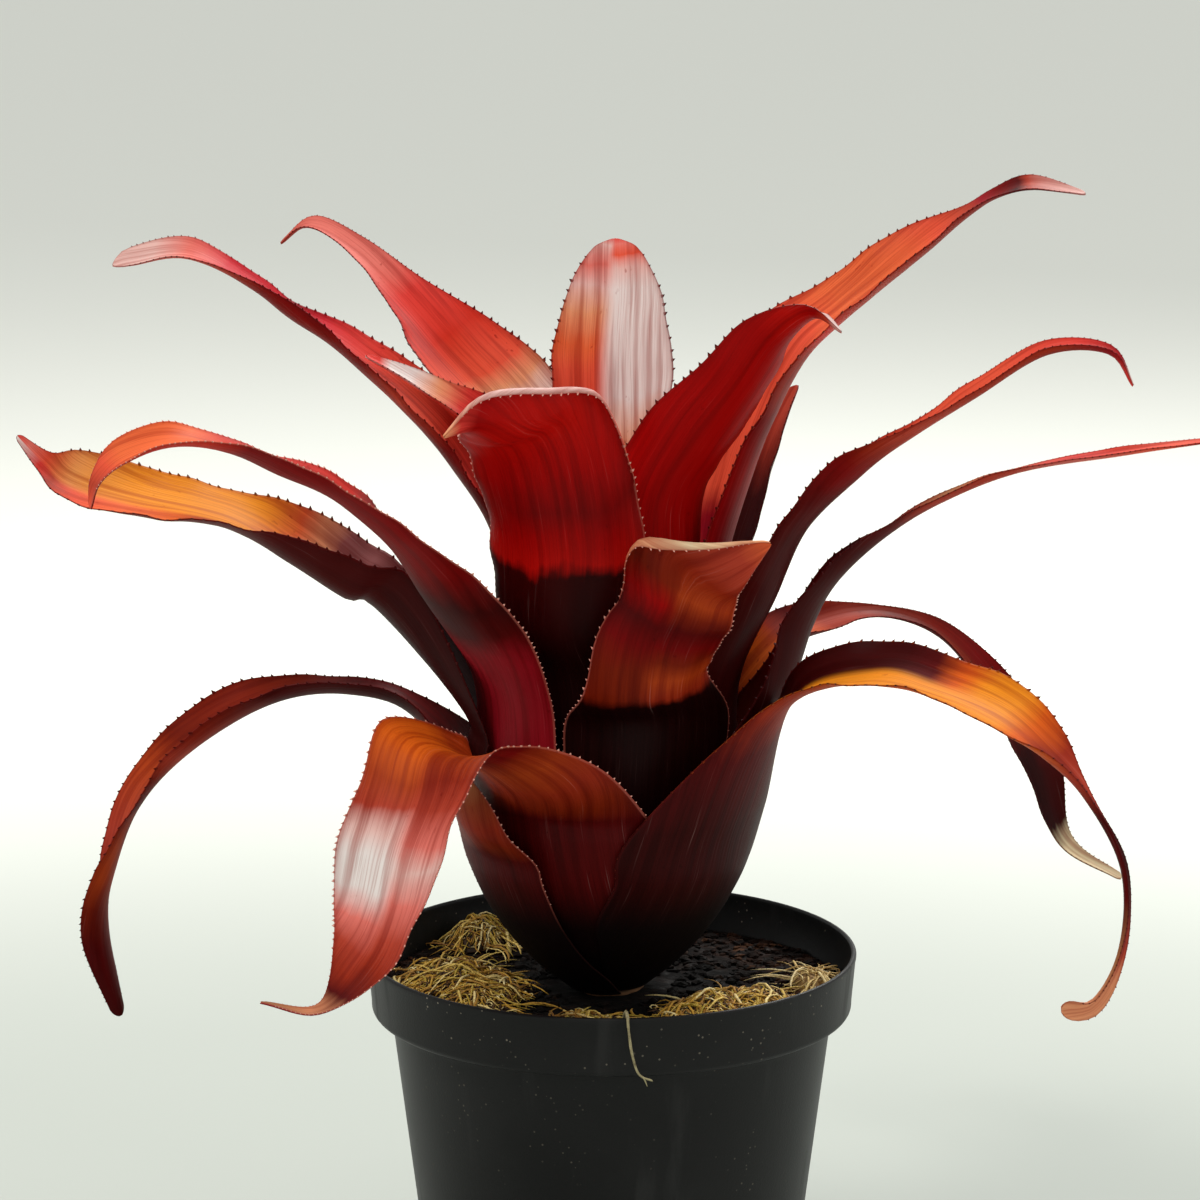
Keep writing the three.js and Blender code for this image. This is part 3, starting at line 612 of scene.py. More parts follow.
LEAVES = [
    leaf_row(
        "basal_stub", "orange", -140, 172, 36, thorns="pale",
        spine="-40 -36 182 26 36 0, -43 -39 192 20 34 0, -45 -42 201 6 30 0",
        upper="-1 SOOT, 0 RUST, 2 TAN, 3 CREAM",
        under="-1 SOOT, -0.5 DUSK, 0.1 MAROON, 0.5 RUST, 1.2 BRICK, 2 TAN, 3 FAWN",
    ),
    leaf_row(
        "left_drooping", "red", 172, 196, 50,
        spine="-63 3 212 23 42 26, -80 4 216 21 41 27, -97 6 215 24 50 23, -115 8 209 29 60 14, "
              "-133 10 196 27 63 7, -147 12 179 23 40 3, -156 13 157 23 60 17, "
              "-159 14 136 17 45 43, -153 14 109 5 31 66",
        upper="-1 SOOT, 1 GARNET, 2 MAROON, 3 RUST, 4 BRICK, 5 RUST, 5.6 EMBER, 6.6 CLAY, "
              "8 MAROON, 9 DUSK",
        under="-1 SOOT, 0.4 MAROON, 1 DUSK, 3.3 DUSK, 4 RUST, 4.6 BRICK, 5.1 CLAY, 5.5 RUST, "
              "6 MAROON, 6.6 EMBER, 7.1 EMBER, 7.6 RUST, 8.2 MAROON, 9 DUSK",
    ),
    # right_drooping: the near-black start of upper_minus, up to about 2.8, is the far half in
    # painted shade.
    leaf_row(
        "right_drooping", "orange", -34, 182, 80,
        spine="51 -40 223 31 44 15, 75 -56 235 29 36 12, 93 -70 234 28 34 4, "
              "110 -82 229 29 34 2, 123 -90 220 25 38 -11, 134 -94 207 11 41 -28, "
              "145 -96 186 8 42 -25, 145 -97 163 7 44 -15, 138 -98 147 9 50 -5, "
              "128 -100 145 12 35 13",
        upper="-1 SOOT, 0.3 TAN, 0.6 ORANGE, 1.2 AMBER, 4.1 AMBER, 4.6 ORANGE, 5 BRICK, "
              "5.6 CLAY, 6.1 MAUVE, 6.5 DUSK, 7.1 DUSK, 7.6 MAROON, 8.1 CLAY, 8.6 PEACH, "
              "10 PEACH",
        upper_minus="-1 SOOT, 0.5 SOOT, 2.3 DUSK, 2.8 MAROON, 3.2 ORANGE, 3.6 AMBER, 4.1 AMBER, "
                    "4.6 ORANGE, 5.2 BRICK, 6 CLAY, 6.5 DUSK, 7.1 DUSK, 7.6 MAROON, 8.1 CLAY, "
                    "8.6 PEACH, 10 PEACH",
        under="-1 SOOT, 0 DUSK, 0.6 MAROON, 1 BRICK, 2 ORANGE, 5 ORANGE, 5.6 CLAY, 6.4 DUSK, "
              "7.4 MAROON, 8.1 FAWN, 10 PEACH",
    ),
    # front_drooping: the blush and white band on its upper face, around 4.3 to 6.5, is a painted
    # sheen.
    leaf_row(
        "front_drooping", "orange", -123, 186, 76, thorns="pale",
        spine="-25 -52 202 55 54 2, -38 -61 212 46 42 -8, -50 -71 215 44 35 -18, "
              "-55 -81 204 42 32 -8, -61 -89 190 46 32 -2, -65 -95 173 41 32 -1, "
              "-71 -98 159 27 34 -1, -83 -99 145 7 40 31, -100 -95 146 2 30 60",
        upper="-1 PLUM, 1 EMBER, 2 EMBER, 2.4 ORANGE, 3 EMBER, 3.7 BRICK, 4.3 CLAY, 4.9 PINK, "
              "5.3 BLUSH, 5.8 PINK, 6.5 CLAY, 7 BRICK, 7.6 MAROON, 8.2 PEACH, 9 FAWN",
        upper_plus="-1 PLUM, 1 EMBER, 2 EMBER, 2.4 ORANGE, 3.2 ORANGE, 3.8 EMBER, 4.3 CLAY, "
                   "4.8 BLUSH, 5.2 WHITE, 5.7 WHITE, 6.3 PINK, 6.9 CLAY, 7.3 BRICK, 7.6 MAROON, "
                   "8.2 PEACH, 9 FAWN",
        under="-1 SOOT, -0.5 MAROON, 0.1 MAROON, 0.5 RUST, 1 BRICK, 1.5 EMBER, 2.1 GARNET, "
              "4 MAROON, 9 CRIMSON",
    ),
    leaf_row(
        "right_twisted", "red", 38, 205, 46,
        spine="49 33 223 29 51 -8, 63 45 228 21 36 3, 84 54 229 8 38 4, 105 60 221 12 43 13, "
              "123 65 200 18 36 34, 137 66 176 18 43 42, 145 65 152 8 49 39, "
              "163 60 141 3 29 39",
        upper="-1 SOOT, 0 RUST, 0.3 EMBER, 0.7 ORANGE, 1.3 ORANGE, 1.7 CORAL, 2.2 CLAY, "
              "2.7 CLAY, 3.2 RUST, 4.6 RUST, 5.3 MAROON, 5.8 SOOT, 6.7 SOOT, 7 CREAM, 8 CREAM",
        upper_minus="-1 SOOT, 0 MAROON, 0.4 EMBER, 1 ORANGE, 1.4 BRICK, 1.8 MAROON, 2.1 BRICK, "
                    "2.6 BRICK, 3.2 RUST, 4.6 GARNET, 5.6 MAROON, 6 DUSK, 6.7 SOOT, 7 CREAM, "
                    "8 CREAM",
        under="-1 SOOT, 2.4 MAROON, 3.4 MAROON, 5 DUSK, 6.7 SOOT, 7 CREAM, 8 CREAM",
    ),
    leaf_row(
        "back_low", "red", 102, 200, 52,
        spine="-5 70 217 46 45 0, -7 95 224 42 45 0, -9 125 215 36 45 0, -11 150 193 28 45 0, "
              "-14 165 155 8 40 0",
        upper=BACK_UPPER,
        under=BACK_UNDER,
    ),
    # left_broad: the mauve stretch on its upper face is a painted sheen.
    leaf_row(
        "left_broad", "orange", 178, 210, 50,
        spine="-66 2 246 57 64 11, -77 2 251 57 64 6, -94 1 261 50 64 1, -115 0 270 40 30 -1, "
              "-141 -1 275 35 31 -12, -162 -1 281 25 42 -27, -170 -1 286 8 36 -48, "
              "-178 -1 294 2 31 -67",
        upper="-1 SOOT, 0.6 SOOT, 1 MAROON, 1.7 MAUVE, 2.3 MAUVE, 2.7 PEACH, 3.1 CORAL, "
              "3.7 AMBER, 4.6 AMBER, 5.1 AMBER, 6 APRICOT, 7 SALMON, 7.6 PINK, 8 ROSE",
        upper_minus="-1 SOOT, 1 MAROON, 3 RUST, 4.1 BRICK, 4.6 ORANGE, 5.2 CORAL, 5.9 SALMON, "
                    "6.5 CLAY, 7.1 ROSE, 8 WHITE",
        under="-1 SOOT, 0 DUSK, 3.2 DUSK, 4.2 MAROON, 5 RUST, 7.4 BRICK, 8 MAROON",
    ),
    leaf_row(
        "right_long", "red", -2, 200, 58,
        spine="50 -3 220 38 56 0, 57 -2 238 33 54 -10, 66 -5 253 30 47 -7, 80 -6 265 20 33 -11, "
              "98 -7 276 15 31 -9, 120 -9 285 11 26 -11, 152 -11 291 8 36 1, "
              "187 -13 296 2 30 12",
        upper="-1 SOOT, 0 RUST, 1 MAROON, 3.6 DUSK, 4.4 CLAY, 5.1 FAWN, 6.6 ROSE, 7.5 SALMON, "
              "8 ROSE",
        under="-1 SOOT, 0.5 DUSK, 3.6 DUSK, 4.3 MAROON, 5 CLAY, 6 CLAY, 6.6 PINK, 7.4 SALMON, "
              "8 MAROON",
    ),
    leaf_row(
        "left_arching", "red", -152, 222, 54, thorns="pale",
        spine="-45 -38 249 51 53 14, -61 -52 272 37 47 7, -77 -61 287 30 40 3, "
              "-93 -69 296 25 43 10, -106 -76 303 23 37 12, -123 -83 307 19 41 0, "
              "-137 -87 303 15 35 -7, -144 -89 296 7 43 -1, -146 -90 288 2 40 5",
        upper="-1 PLUM, 1 GARNET, 2 MAUVE, 2.6 ROSE, 4 ROSE, 5 RED, 5.6 CORAL, 6.2 CORAL, "
              "7 CORAL, 7.5 SALMON, 8.2 CLAY, 9 SALMON",
        under="-1 MAROON, -0.5 CRIMSON, 0.5 CRIMSON, 0.85 MAROON, 1.2 DUSK, 1.7 GARNET, "
              "5 GARNET, 5.6 RED, 7 RED, 8 GARNET, 9 GARNET",
    ),
    leaf_row(
        "front_short", "red", -70, 215, 56, thorns="pale", lips=[(1, 2.6, 6.2, 8, 150)],
        spine="11 -46 226 42 44 -6, 14 -51 241 38 41 -20, 19 -57 252 34 42 -34, "
              "23 -62 262 32 32 -33, 31 -70 266 21 28 -22, 45 -73 275 2 30 -3",
        upper="-1 PLUM, 2 CRIMSON, 3.2 SALMON, 4 PEACH, 5 CREAM, 6 PEACH",
        under="-1 SOOT, 0.74 SOOT, 0.96 BRICK, 1.4 EMBER, 1.8 RUST, 2.2 GARNET, 2.7 MAROON, "
              "3.1 RUST, 3.6 EMBER, 4.6 BRICK, 5.4 CLAY, 6 CORAL",
        under_plus="-1 SOOT, 0.8 SOOT, 1.04 RUST, 1.5 RUST, 2 GARNET, 2.6 MAROON, 3.1 BLOOD, "
                   "3.7 RUST, 4.6 BRICK, 5.4 CLAY, 6 CORAL",
    ),
    leaf_row(
        "right_middle", "red", -20, 222, 58,
        spine="43 -18 248 38 62 0, 55 -27 272 32 40 -2, 71 -37 292 28 62 -9, "
              "87 -44 303 20 40 -5, 104 -50 315 16 35 7, 124 -54 328 12 59 6, "
              "142 -56 328 8 48 3, 149 -57 318 2 40 1",
        upper="-1 SOOT, 1 GARNET, 2.6 RED, 3.6 SALMON, 5.4 SALMON, 6.4 ROSE, 7.4 CRIMSON, "
              "8 BLUSH",
        under="-1 SOOT, 0 DUSK, 2 DUSK, 2.6 MAROON, 3 GARNET, 3.6 BRICK, 4.2 CLAY, 5.4 BRICK, "
              "6.3 BRICK, 7 CRIMSON, 8 ROSE",
    ),
    leaf_row(
        "back_low_right", "red", 76, 212, 58,
        spine="14 60 232 44 45 0, 19 88 239 40 45 0, 24 118 233 34 45 0, 27 146 214 24 45 0, "
              "30 164 183 6 40 0",
        upper="-1 PLUM, 1 CRIMSON, 3 SALMON, 4.4 CORAL, 5 GARNET",
        under=BACK_UNDER,
    ),
    # front_upright: the near-black under face up to 1.7 is a painted cast shadow, and the bright
    # reds above it a painted glow of light through the leaf.
    leaf_row(
        "front_upright", "red", -110, 225, 56, thorns="pale", lips=[(-1, 2.6, 7.3, 4.5, 165)],
        spine="-15 -36 244 55 58 -2, -15 -42 269 56 55 3, -19 -49 292 50 45 7, "
              "-24 -58 305 46 45 16, -29 -69 308 37 45 16, -38 -81 312 19 51 28, "
              "-47 -87 308 2 30 23",
        upper="-1 PLUM, 1 CRIMSON, 3 SALMON, 4.4 BLUSH, 6 BLUSH, 7 PEACH",
        under="-1 SOOT, 1.7 SOOT, 1.84 SCARLET, 2.2 BLOOD, 2.5 GARNET, 3 BLOOD, 4 SCARLET, "
              "5.4 SCARLET, 6.1 BLOOD, 6.6 ROSE, 7 PEACH",
    ),
    leaf_row(
        "back_low_left", "red", 106, 222, 58,
        spine="-12 62 242 42 45 0, -17 90 252 36 45 0, -22 118 248 28 45 0, "
              "-26 142 234 18 45 0, -29 155 212 4 40 0",
        upper=BACK_UPPER,
        under=BACK_UNDER,
    ),
    leaf_row(
        "left_upper", "red", 184, 222, 42,
        spine="-31 -4 259 28 46 -1, -47 -5 293 36 52 -18, -75 -8 320 28 47 -9, "
              "-93 -10 332 22 46 5, -105 -11 341 17 42 0, -124 -12 351 14 41 -20, "
              "-141 -13 349 9 40 -35, -147 -13 347 2 40 -41",
        upper="-1 PLUM, 1 CRIMSON, 1.6 ROSE, 2.4 SALMON, 3 ROSE, 3.5 CERISE, 4 CRIMSON, "
              "4.5 CERISE, 5.5 CERISE, 6 PINK, 6.6 BLUSH, 8 BLUSH",
        under="-1 SOOT, 1 MAROON, 2 GARNET, 2.5 CLAY, 3 GARNET, 5 GARNET, 5.6 CLAY, 6.2 PINK, "
              "8 BLUSH",
    ),
    leaf_row(
        "back_right_short", "red", 36, 222, 54,
        spine="32 18 252 40 50 0, 40 26 273 32 48 0, 48 34 290 20 45 0, 57 42 303 3 40 0",
        upper="-1 SOOT, 0.6 DUSK, 2 DUSK, 2.8 CLAY, 4 CLAY",
        under="-1 SOOT, 1 DUSK, 2.6 MAROON, 4 GARNET",
    ),
    # back_left: the white patch near the foot of its blade is a painted highlight.
    leaf_row(
        "back_left", "pink", 122, 225, 40,
        spine="-16 31 278 30 60 0, -33 38 300 37 48 0, -49 53 314 32 44 0, -65 70 328 17 44 0, "
              "-81 84 341 9 44 0, -96 95 347 7 45 0, -106 100 340 2 40 0",
        upper="-1 PLUM, 0.6 CRIMSON, 1.2 WHITE, 1.7 WHITE, 2.1 PEACH, 2.5 SALMON, 3.2 RED, "
              "4 ROSE, 4.7 PINK, 6 PINK, 7 CLAY",
        under="-1 SOOT, 1 MAROON, 3 GARNET, 5 CRIMSON, 7 CLAY",
    ),
    leaf_row(
        "right_upper", "red", 5, 228, 54,
        spine="33 0 277 51 60 7, 50 3 317 47 49 13, 68 5 333 39 35 9, 90 7 350 26 50 12, "
              "106 11 360 13 35 3, 115 14 365 9 32 11, 126 15 368 10 36 24, 142 16 365 2 40 34",
        upper="-1 PLUM, 0.3 PLUM, 0.7 CRIMSON, 1 SALMON, 2.4 SALMON, 3 CORAL, 3.6 CORAL, "
              "4.4 SALMON, 5 CLAY, 5.5 CRIMSON, 6 GARNET, 6.7 MAROON, 7 CLAY, 8 BLUSH",
        upper_plus="-1 PLUM, 0.3 PLUM, 0.7 CRIMSON, 1 SALMON, 2.8 CORAL, 3.4 RED, 4 BRICK, "
                   "4.8 GARNET, 5.4 GARNET, 6 GARNET, 6.6 DUSK, 7 CLAY, 8 BLUSH",
        under="-1 PLUM, 0.2 PLUM, 0.6 CRIMSON, 1.1 BLOOD, 1.6 GARNET, 2 BRICK, 2.5 ROSE, "
              "3.2 CLAY, 4 BRICK, 6 GARNET, 6.5 DUSK, 7.2 MAROON, 8 BLUSH",
    ),
    leaf_row(
        "right_upright", "red", -35, 232, 52,
        spine="14 -24 275 45 56 -22, 24 -28 297 40 54 -23, 37 -32 315 33 48 -16, "
              "47 -37 330 26 51 -12, 58 -43 337 13 43 -7, 66 -47 332 2 40 0",
        upper="-1 PLUM, 1 CRIMSON, 4 SALMON, 5 BLUSH, 6 WHITE",
        under="-1 SOOT, 0 MAROON, 0.6 BLOOD, 4 BLOOD, 4.6 SCARLET, 5.2 BLOOD, 5.6 CLAY, "
              "6 BLUSH",
    ),
    # back_center: the white middle of its upper face is a painted highlight.
    leaf_row(
        "back_center", "pink", 88, 236, 46,
        spine="0 24 270 42 46 0, 0 30 293 40 38 0, 0 37 314 38 32 0, 1 44 331 30 30 0, "
              "1 50 342 18 30 0, 1 54 347 6 30 0",
        upper="-1 PLUM, 0.2 CRIMSON, 1 ROSE, 1.8 PEACH, 2.4 WHITE, 4.2 WHITE, 4.7 BLUSH, "
              "5.1 SALMON, 5.6 PINK, 6 ROSE",
        upper_minus="-1 PLUM, 0.2 CRIMSON, 1 ROSE, 2.7 SALMON, 3.2 CORAL, 3.7 PEACH, 4.2 BLUSH, "
                    "4.7 PINK, 5.5 BLUSH, 6 ROSE",
        under="-1 MAROON, 2 BLOOD, 4 CRIMSON, 5.4 ROSE, 6 PINK",
    ),
    # inner_left: the white on both faces is a painted highlight.
    leaf_row(
        "inner_left", "pink", 168, 232, 46,
        spine="-20 2 277 28 55 0, -35 0 296 25 52 0, -51 -3 307 14 48 0, -63 -5 314 8 48 0, "
              "-73 -6 319 2 40 0",
        upper="-1 PLUM, 1 CRIMSON, 2 BLOOD, 2.6 ROSE, 3.1 PEACH, 3.6 WHITE, 4.2 WHITE, "
              "4.6 ROSE, 5 ROSE",
        under="-1 MAROON, 1.6 BLOOD, 2.5 PINK, 3.1 PINK, 3.6 WHITE, 5 WHITE",
    ),
]


# Finishes

def shades(text):
    """The places and colours of a face."""
    pairs = [pair.split() for pair in text.split(",")]
    return [(float(place), SHADES[name]) for place, name in pairs]


def leaf_finish(leaf):
    """Tough waxy leaf: its own run of colours on each face, which also holds painted highlights,
    sheens and shade, faint fibres along it, dark freckles, a fine margin and thorns. The foot of
    the funnel is painted near black as shade. Thin parts let some light through."""
    f = Finish(leaf["name"] + "_finish")
    across, row, face = f.carried("place")
    wide, far, layer = f.carried("grain")
    points = len(leaf["spine"])
    streaks = f.noise(f.vector(wide * 0.32, far * 0.011, layer), 1.0, 4.0)
    fibres = f.noise(f.vector(wide * 2.2, far * 0.035, layer), 1.0, 2.0)
    clouds = f.noise(f.vector(wide * 0.05, far * 0.045, layer), 1.0, 3.0)
    freckles = f.noise(f.vector(wide * 0.55, far * 0.3, layer), 1.0, 2.0)
    drift = (clouds - 0.5) * 0.9 + (streaks - 0.5) * 0.35
    step = (row + drift * row.ease(-0.6, 0.6) * 0.7 + 1.0) * (1 / (points + 1))

    def run(name):
        pairs = shades(leaf[name])
        return f.ramp(step, [((place + 1) / (points + 1), color) for place, color in pairs])

    def side(name):
        color = run(name)
        for half, sign in (("_minus", -1), ("_plus", 1)):
            if name + half in leaf:
                color = f.mix(across.ease(-0.05 * sign, 0.3 * sign), color, run(name + half))
        return color

    color = f.mix(face.ease(0.4, 0.6), side("under"), side("upper"))
    dark = f.mix(1.0, color, linear(176, 112, 104), "MULTIPLY")
    color = f.mix(streaks.ease(0.56, 0.36) * 0.55, color, dark)
    color = f.mix(fibres.ease(0.5, 0.36) * 0.3, color, dark)
    pale = f.mix(0.3, color, SHADES["BLUSH"])
    color = f.mix(fibres.ease(0.58, 0.78) * streaks.ease(0.5, 0.66) * 0.5, color, pale)
    patches = clouds.ease(0.5, 0.66)
    color = f.mix(freckles.ease(0.64, 0.72) * patches * 0.7, color, dark)
    margin = abs(across)
    thorn_colors = THORNS[leaf["thorns"]]
    color = f.mix(margin.ease(0.84, 0.98) * 0.35, color, dark)
    color = f.mix(margin.ease(0.972, 0.988) * 0.4, color, thorn_colors[0][1])
    thorn = f.ramp(margin.ease(1.0, 1.75), thorn_colors)
    color = f.mix(margin.ease(1.02, 1.4), color, thorn)
    # Painted shade: low in the funnel the sheaths fade to near black, standing for the shade at
    # the foot of the plant.
    height = f.part(f.body_place(), 2)
    foot = height.ease(0.168, 0.148) * row.ease(0.1, -0.05)
    color = f.mix(foot * 0.94, color, FOOT_SHADE)
    rough = 0.38 + streaks * 0.14 + freckles * 0.08 + foot * 0.3
    ribs = f.noise(f.vector(wide * 1.3, far * 0.01, layer), 1.0, 2.0)
    pores = f.noise(f.vector(wide * 1.8, far * 1.1, layer), 1.0, 2.0)
    relief = f.bump(ribs + fibres * 0.3 + pores * 0.12, 0.2, 0.5)
    skin = f.surface(Base_Color=color, Roughness=rough, Normal=relief, Specular_IOR_Level=WAX)
    glow = f.node("ShaderNodeBsdfTranslucent", None, {"Color": GLOW})
    thin = row.ease(0.0, 1.6) * THROUGH_LIGHT
    return f.done(f.node("ShaderNodeMixShader", None, [thin, skin, glow]))


THORNS = {
    "dark": stops((0.0, 84, 9, 10), (0.4, 58, 7, 8), (1.0, 34, 5, 5)),
    "pale": stops((0.0, 200, 108, 92), (0.5, 236, 186, 170), (1.0, 190, 110, 90)),
}
GLOW = linear(226, 48, 22)
THROUGH_LIGHT = 0.16
WAX = 0.07
# Near black, painted over the foot of the funnel as shade.
FOOT_SHADE = linear(7, 3, 3)


def pot_finish():
    """Black injection-moulded plastic: a faint pebble, soft scuffs, dust and water marks."""
    f = Finish("pot_plastic")
    place = f.body_place()
    scuffs = f.noise(f.stretched(place, 0.12), 90.0, 5.0)
    smears = f.noise(place, 18.0, 4.0)
    specks = f.cells(place, 420.0)
    dust = f.noise(place, 55.0, 5.0)
    upper = f.part(place, 2).ease(0.112, 0.135)
    color = f.mix(smears.ease(0.42, 0.72), linear(11, 11, 11), linear(19, 19, 19))
    color = f.mix(scuffs.ease(0.58, 0.74) * 0.3, color, linear(52, 52, 51))
    crumbs = specks.ease(0.16, 0.1) * dust.ease(0.5, 0.62)
    color = f.mix(crumbs * (0.25 + upper * 0.6), color, linear(140, 132, 118))
    rough = 0.36 + smears * 0.16 + scuffs.ease(0.55, 0.75) * 0.16 + crumbs * 0.3
    pebble = f.noise(place, 1500.0, 2.0)
    relief = f.bump(pebble + scuffs * 0.8, 0.12, 0.35)
    skin = f.surface(Base_Color=color, Roughness=rough, Normal=relief, Specular_IOR_Level=0.2)
    return f.done(skin)


def mix_finish():
    """Dark bark and peat, painted near black round the stem as the shade under the leaves."""
    f = Finish("bark_mix")
    place = f.body_place()
    lumps = f.noise(place, 260.0, 5.0)
    chips = f.cells(place, 300.0, "Color")
    tone = f.part(chips, 0)
    color = f.ramp(tone * 0.7 + lumps * 0.3, MIX_COLORS)
    # Painted shade: the mix darkens to near black close to the stem, where the rosette shades it.
    out = f.length(f.stretched(place, 0.0))
    color = f.mix(out.ease(0.058, 0.034) * 0.85, color, linear(4, 3, 2))
    rough = 0.95 - lumps.ease(0.45, 0.8) * 0.4
    relief = f.bump(lumps, 1.0, 0.9)
    skin = f.surface(Base_Color=color, Roughness=rough, Normal=relief, Specular_IOR_Level=0.12)
    return f.done(skin)


MIX_COLORS = stops(
    (0.0, 6, 4, 3), (0.5, 22, 12, 8), (0.76, 44, 24, 14), (0.9, 84, 52, 28), (1.0, 128, 92, 52),
)


def fibre_finish(name, colors):
    """Dry stems: each has its own tone, with darker bands along it."""
    f = Finish(name)
    tone, along, _ = f.carried("place")
    color = f.ramp(tone, colors)
    rings = f.noise(f.vector(tone * 90.0, along * 6.0, 0.0), 1.0, 3.0)
    dark = f.mix(1.0, color, linear(150, 120, 90), "MULTIPLY")
    color = f.mix(rings.ease(0.45, 0.7) * 0.7, color, dark)
    return f.done(f.surface(Base_Color=color, Roughness=0.72))


MOSS_COLORS = stops(
    (0.0, 24, 14, 6), (0.25, 70, 42, 12), (0.45, 140, 94, 26), (0.65, 206, 158, 50),
    (0.76, 176, 150, 42), (0.88, 240, 206, 108), (1.0, 250, 234, 172),
)
STRAW_COLORS = stops(
    (0.0, 120, 84, 36), (0.4, 196, 156, 78), (0.75, 232, 204, 130), (1.0, 250, 236, 186),
)


def stem_finish():
    """Brown stem with the scars of old leaves round it."""
    f = Finish("stem_bark")
    scars = f.noise(f.stretched(f.body_place(), 6.0), 120.0, 4.0)
    color = f.ramp(scars, stops((0.3, 44, 24, 14), (0.7, 122, 84, 48)))
    relief = f.bump(scars, 0.8, 0.8)
    return f.done(f.surface(Base_Color=color, Roughness=0.85, Normal=relief))


def root_finish():
    f = Finish("dry_root")
    bands = f.noise(f.body_place(), 500.0, 3.0)
    color = f.ramp(bands, stops((0.3, 96, 84, 54), (0.7, 176, 166, 124)))
    return f.done(f.surface(Base_Color=color, Roughness=0.7))


def floor_finish():
    f = Finish("pale_floor")
    place = f.body_place()
    tone = f.noise(place, 3.0, 2.0)
    near = f.mix(tone, linear(178, 184, 178), linear(186, 191, 185))
    color = f.mix(f.length(place).ease(0.35, 1.1), near, linear(240, 242, 236))
    return f.done(f.surface(Base_Color=color, Roughness=0.9, Specular_IOR_Level=0.1))


# Pot, mix, moss and roots

POT_HEIGHT = 135.0
RIM_RADIUS = 75.0
BAND_FOOT = 119.0
BAND_FOOT_RADIUS = 73.6
SHOULDER = 114.0
SHOULDER_RADIUS = 67.4
BASE_RADIUS = 53.0
WALL = 1.6
FLOOR = 2.4
MIX_TOP = 123.2
CLEARANCE = 0.3
DRAIN_HOLES = 6
DRAIN_HOLE_RADIUS = 4.5
DRAIN_CIRCLE_RADIUS = 38.0
AROUND_POT = 192
DRILL_SIDES = 32


def revolved(name, profile, sides, material):
    """A closed round body from a profile of (radius, height) that starts and ends on the axis."""
    points, faces, rings = [], [], []
    for radius, height in profile:
        if radius == 0:
            rings.append([len(points)])
            points.append((0.0, 0.0, height))
            continue
        rings.append(list(range(len(points), len(points) + sides)))
        for i in range(sides):
            angle = math.tau * i / sides
            points.append((radius * math.cos(angle), radius * math.sin(angle), height))
    for low, high in zip(rings, rings[1:]):
        for i in range(sides):
            k = (i + 1) % sides
            if len(low) == 1:
                faces.append((low[0], high[k], high[i]))
            elif len(high) == 1:
                faces.append((low[i], low[k], high[0]))
            else:
                faces.append((low[i], low[k], high[k], high[i]))
    return mesh_object(name, points, faces, material)


def arc(centre, radius, start, end, count=6):
    """Points of a round corner, with angles in degrees."""
    turns = [math.radians(start + (end - start) * i / count) for i in range(count + 1)]
    return [(centre[0] + radius * math.cos(t), centre[1] + radius * math.sin(t)) for t in turns]


def body_radius(z):
    return BASE_RADIUS + (SHOULDER_RADIUS - BASE_RADIUS) * z / SHOULDER


def pot_piece():
    top, lip = POT_HEIGHT, WALL / 2
    outer = [(0, 0), (BASE_RADIUS - 2.2, 0)] + arc((BASE_RADIUS - 2.0, 2.2), 2.2, -70, -8)
    outer += [(body_radius(z), z) for z in (4, 5, 30, 60, 90, SHOULDER - 1.5, SHOULDER - 0.6)]
    outer += arc((SHOULDER_RADIUS + 2.6, SHOULDER + 0.2), 2.4, 172, 100, 5)
    outer += arc((BAND_FOOT_RADIUS - 2.2, BAND_FOOT - 0.4), 2.2, -62, 0)
    outer += [(BAND_FOOT_RADIUS + 0.05, BAND_FOOT + 1.2)]
    outer += [(RIM_RADIUS - 0.25, top - 2.6), (RIM_RADIUS - 0.05, top - 1.6)]
    outer += arc((RIM_RADIUS - lip, top - lip), lip, 0, 180, 10)
    inner = [(RIM_RADIUS - WALL, top - 2.0), (BAND_FOOT_RADIUS - WALL, BAND_FOOT + 1.4)]
    inner += [(SHOULDER_RADIUS - WALL, SHOULDER), (body_radius(FLOOR) - WALL, FLOOR + 0.6)]
    inner += [(body_radius(FLOOR) - WALL - 0.6, FLOOR), (0, FLOOR)]
    piece = revolved("nursery_pot", outer + inner, AROUND_POT, pot_finish())
    drill_drain_holes(piece)
    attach(piece, "root")
    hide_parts("pot")


def object_of(name, mesh):
    """A new object in the scene from a bmesh, which is used up."""
    data = bpy.data.meshes.new(name)
    mesh.to_mesh(data)
    mesh.free()
    return added(name, data)


def drill_drain_holes(piece):
    mesh = bmesh.new()
    for i in range(DRAIN_HOLES):
        angle = math.tau * (i + 0.5) / DRAIN_HOLES
        place = Vector((math.cos(angle), math.sin(angle), 0.0)) * DRAIN_CIRCLE_RADIUS * MM
        bmesh.ops.create_cone(
            mesh, cap_ends=True, segments=DRILL_SIDES, radius1=DRAIN_HOLE_RADIUS * MM,
            radius2=DRAIN_HOLE_RADIUS * MM, depth=4 * FLOOR * MM, matrix=Matrix.Translation(place),
        )
    drill = object_of("drain_drill", mesh)
    cut = piece.modifiers.new("drain_holes", "BOOLEAN")
    cut.operation, cut.object, cut.solver = "DIFFERENCE", drill, "EXACT"
    apply_modifiers(piece)
    bpy.data.objects.remove(drill)


def apply_modifiers(piece):
    graph = bpy.context.evaluated_depsgraph_get()
    made = bpy.data.meshes.new_from_object(piece.evaluated_get(graph))
    piece.modifiers.clear()
    piece.data = made


GOLDEN_RATIO = (1 + math.sqrt(5)) / 2
CHIP_CORNERS = [
    corner for a in (1, -1) for b in (GOLDEN_RATIO, -GOLDEN_RATIO)
    for corner in ((0, a, b), (a, b, 0), (b, 0, a))
]


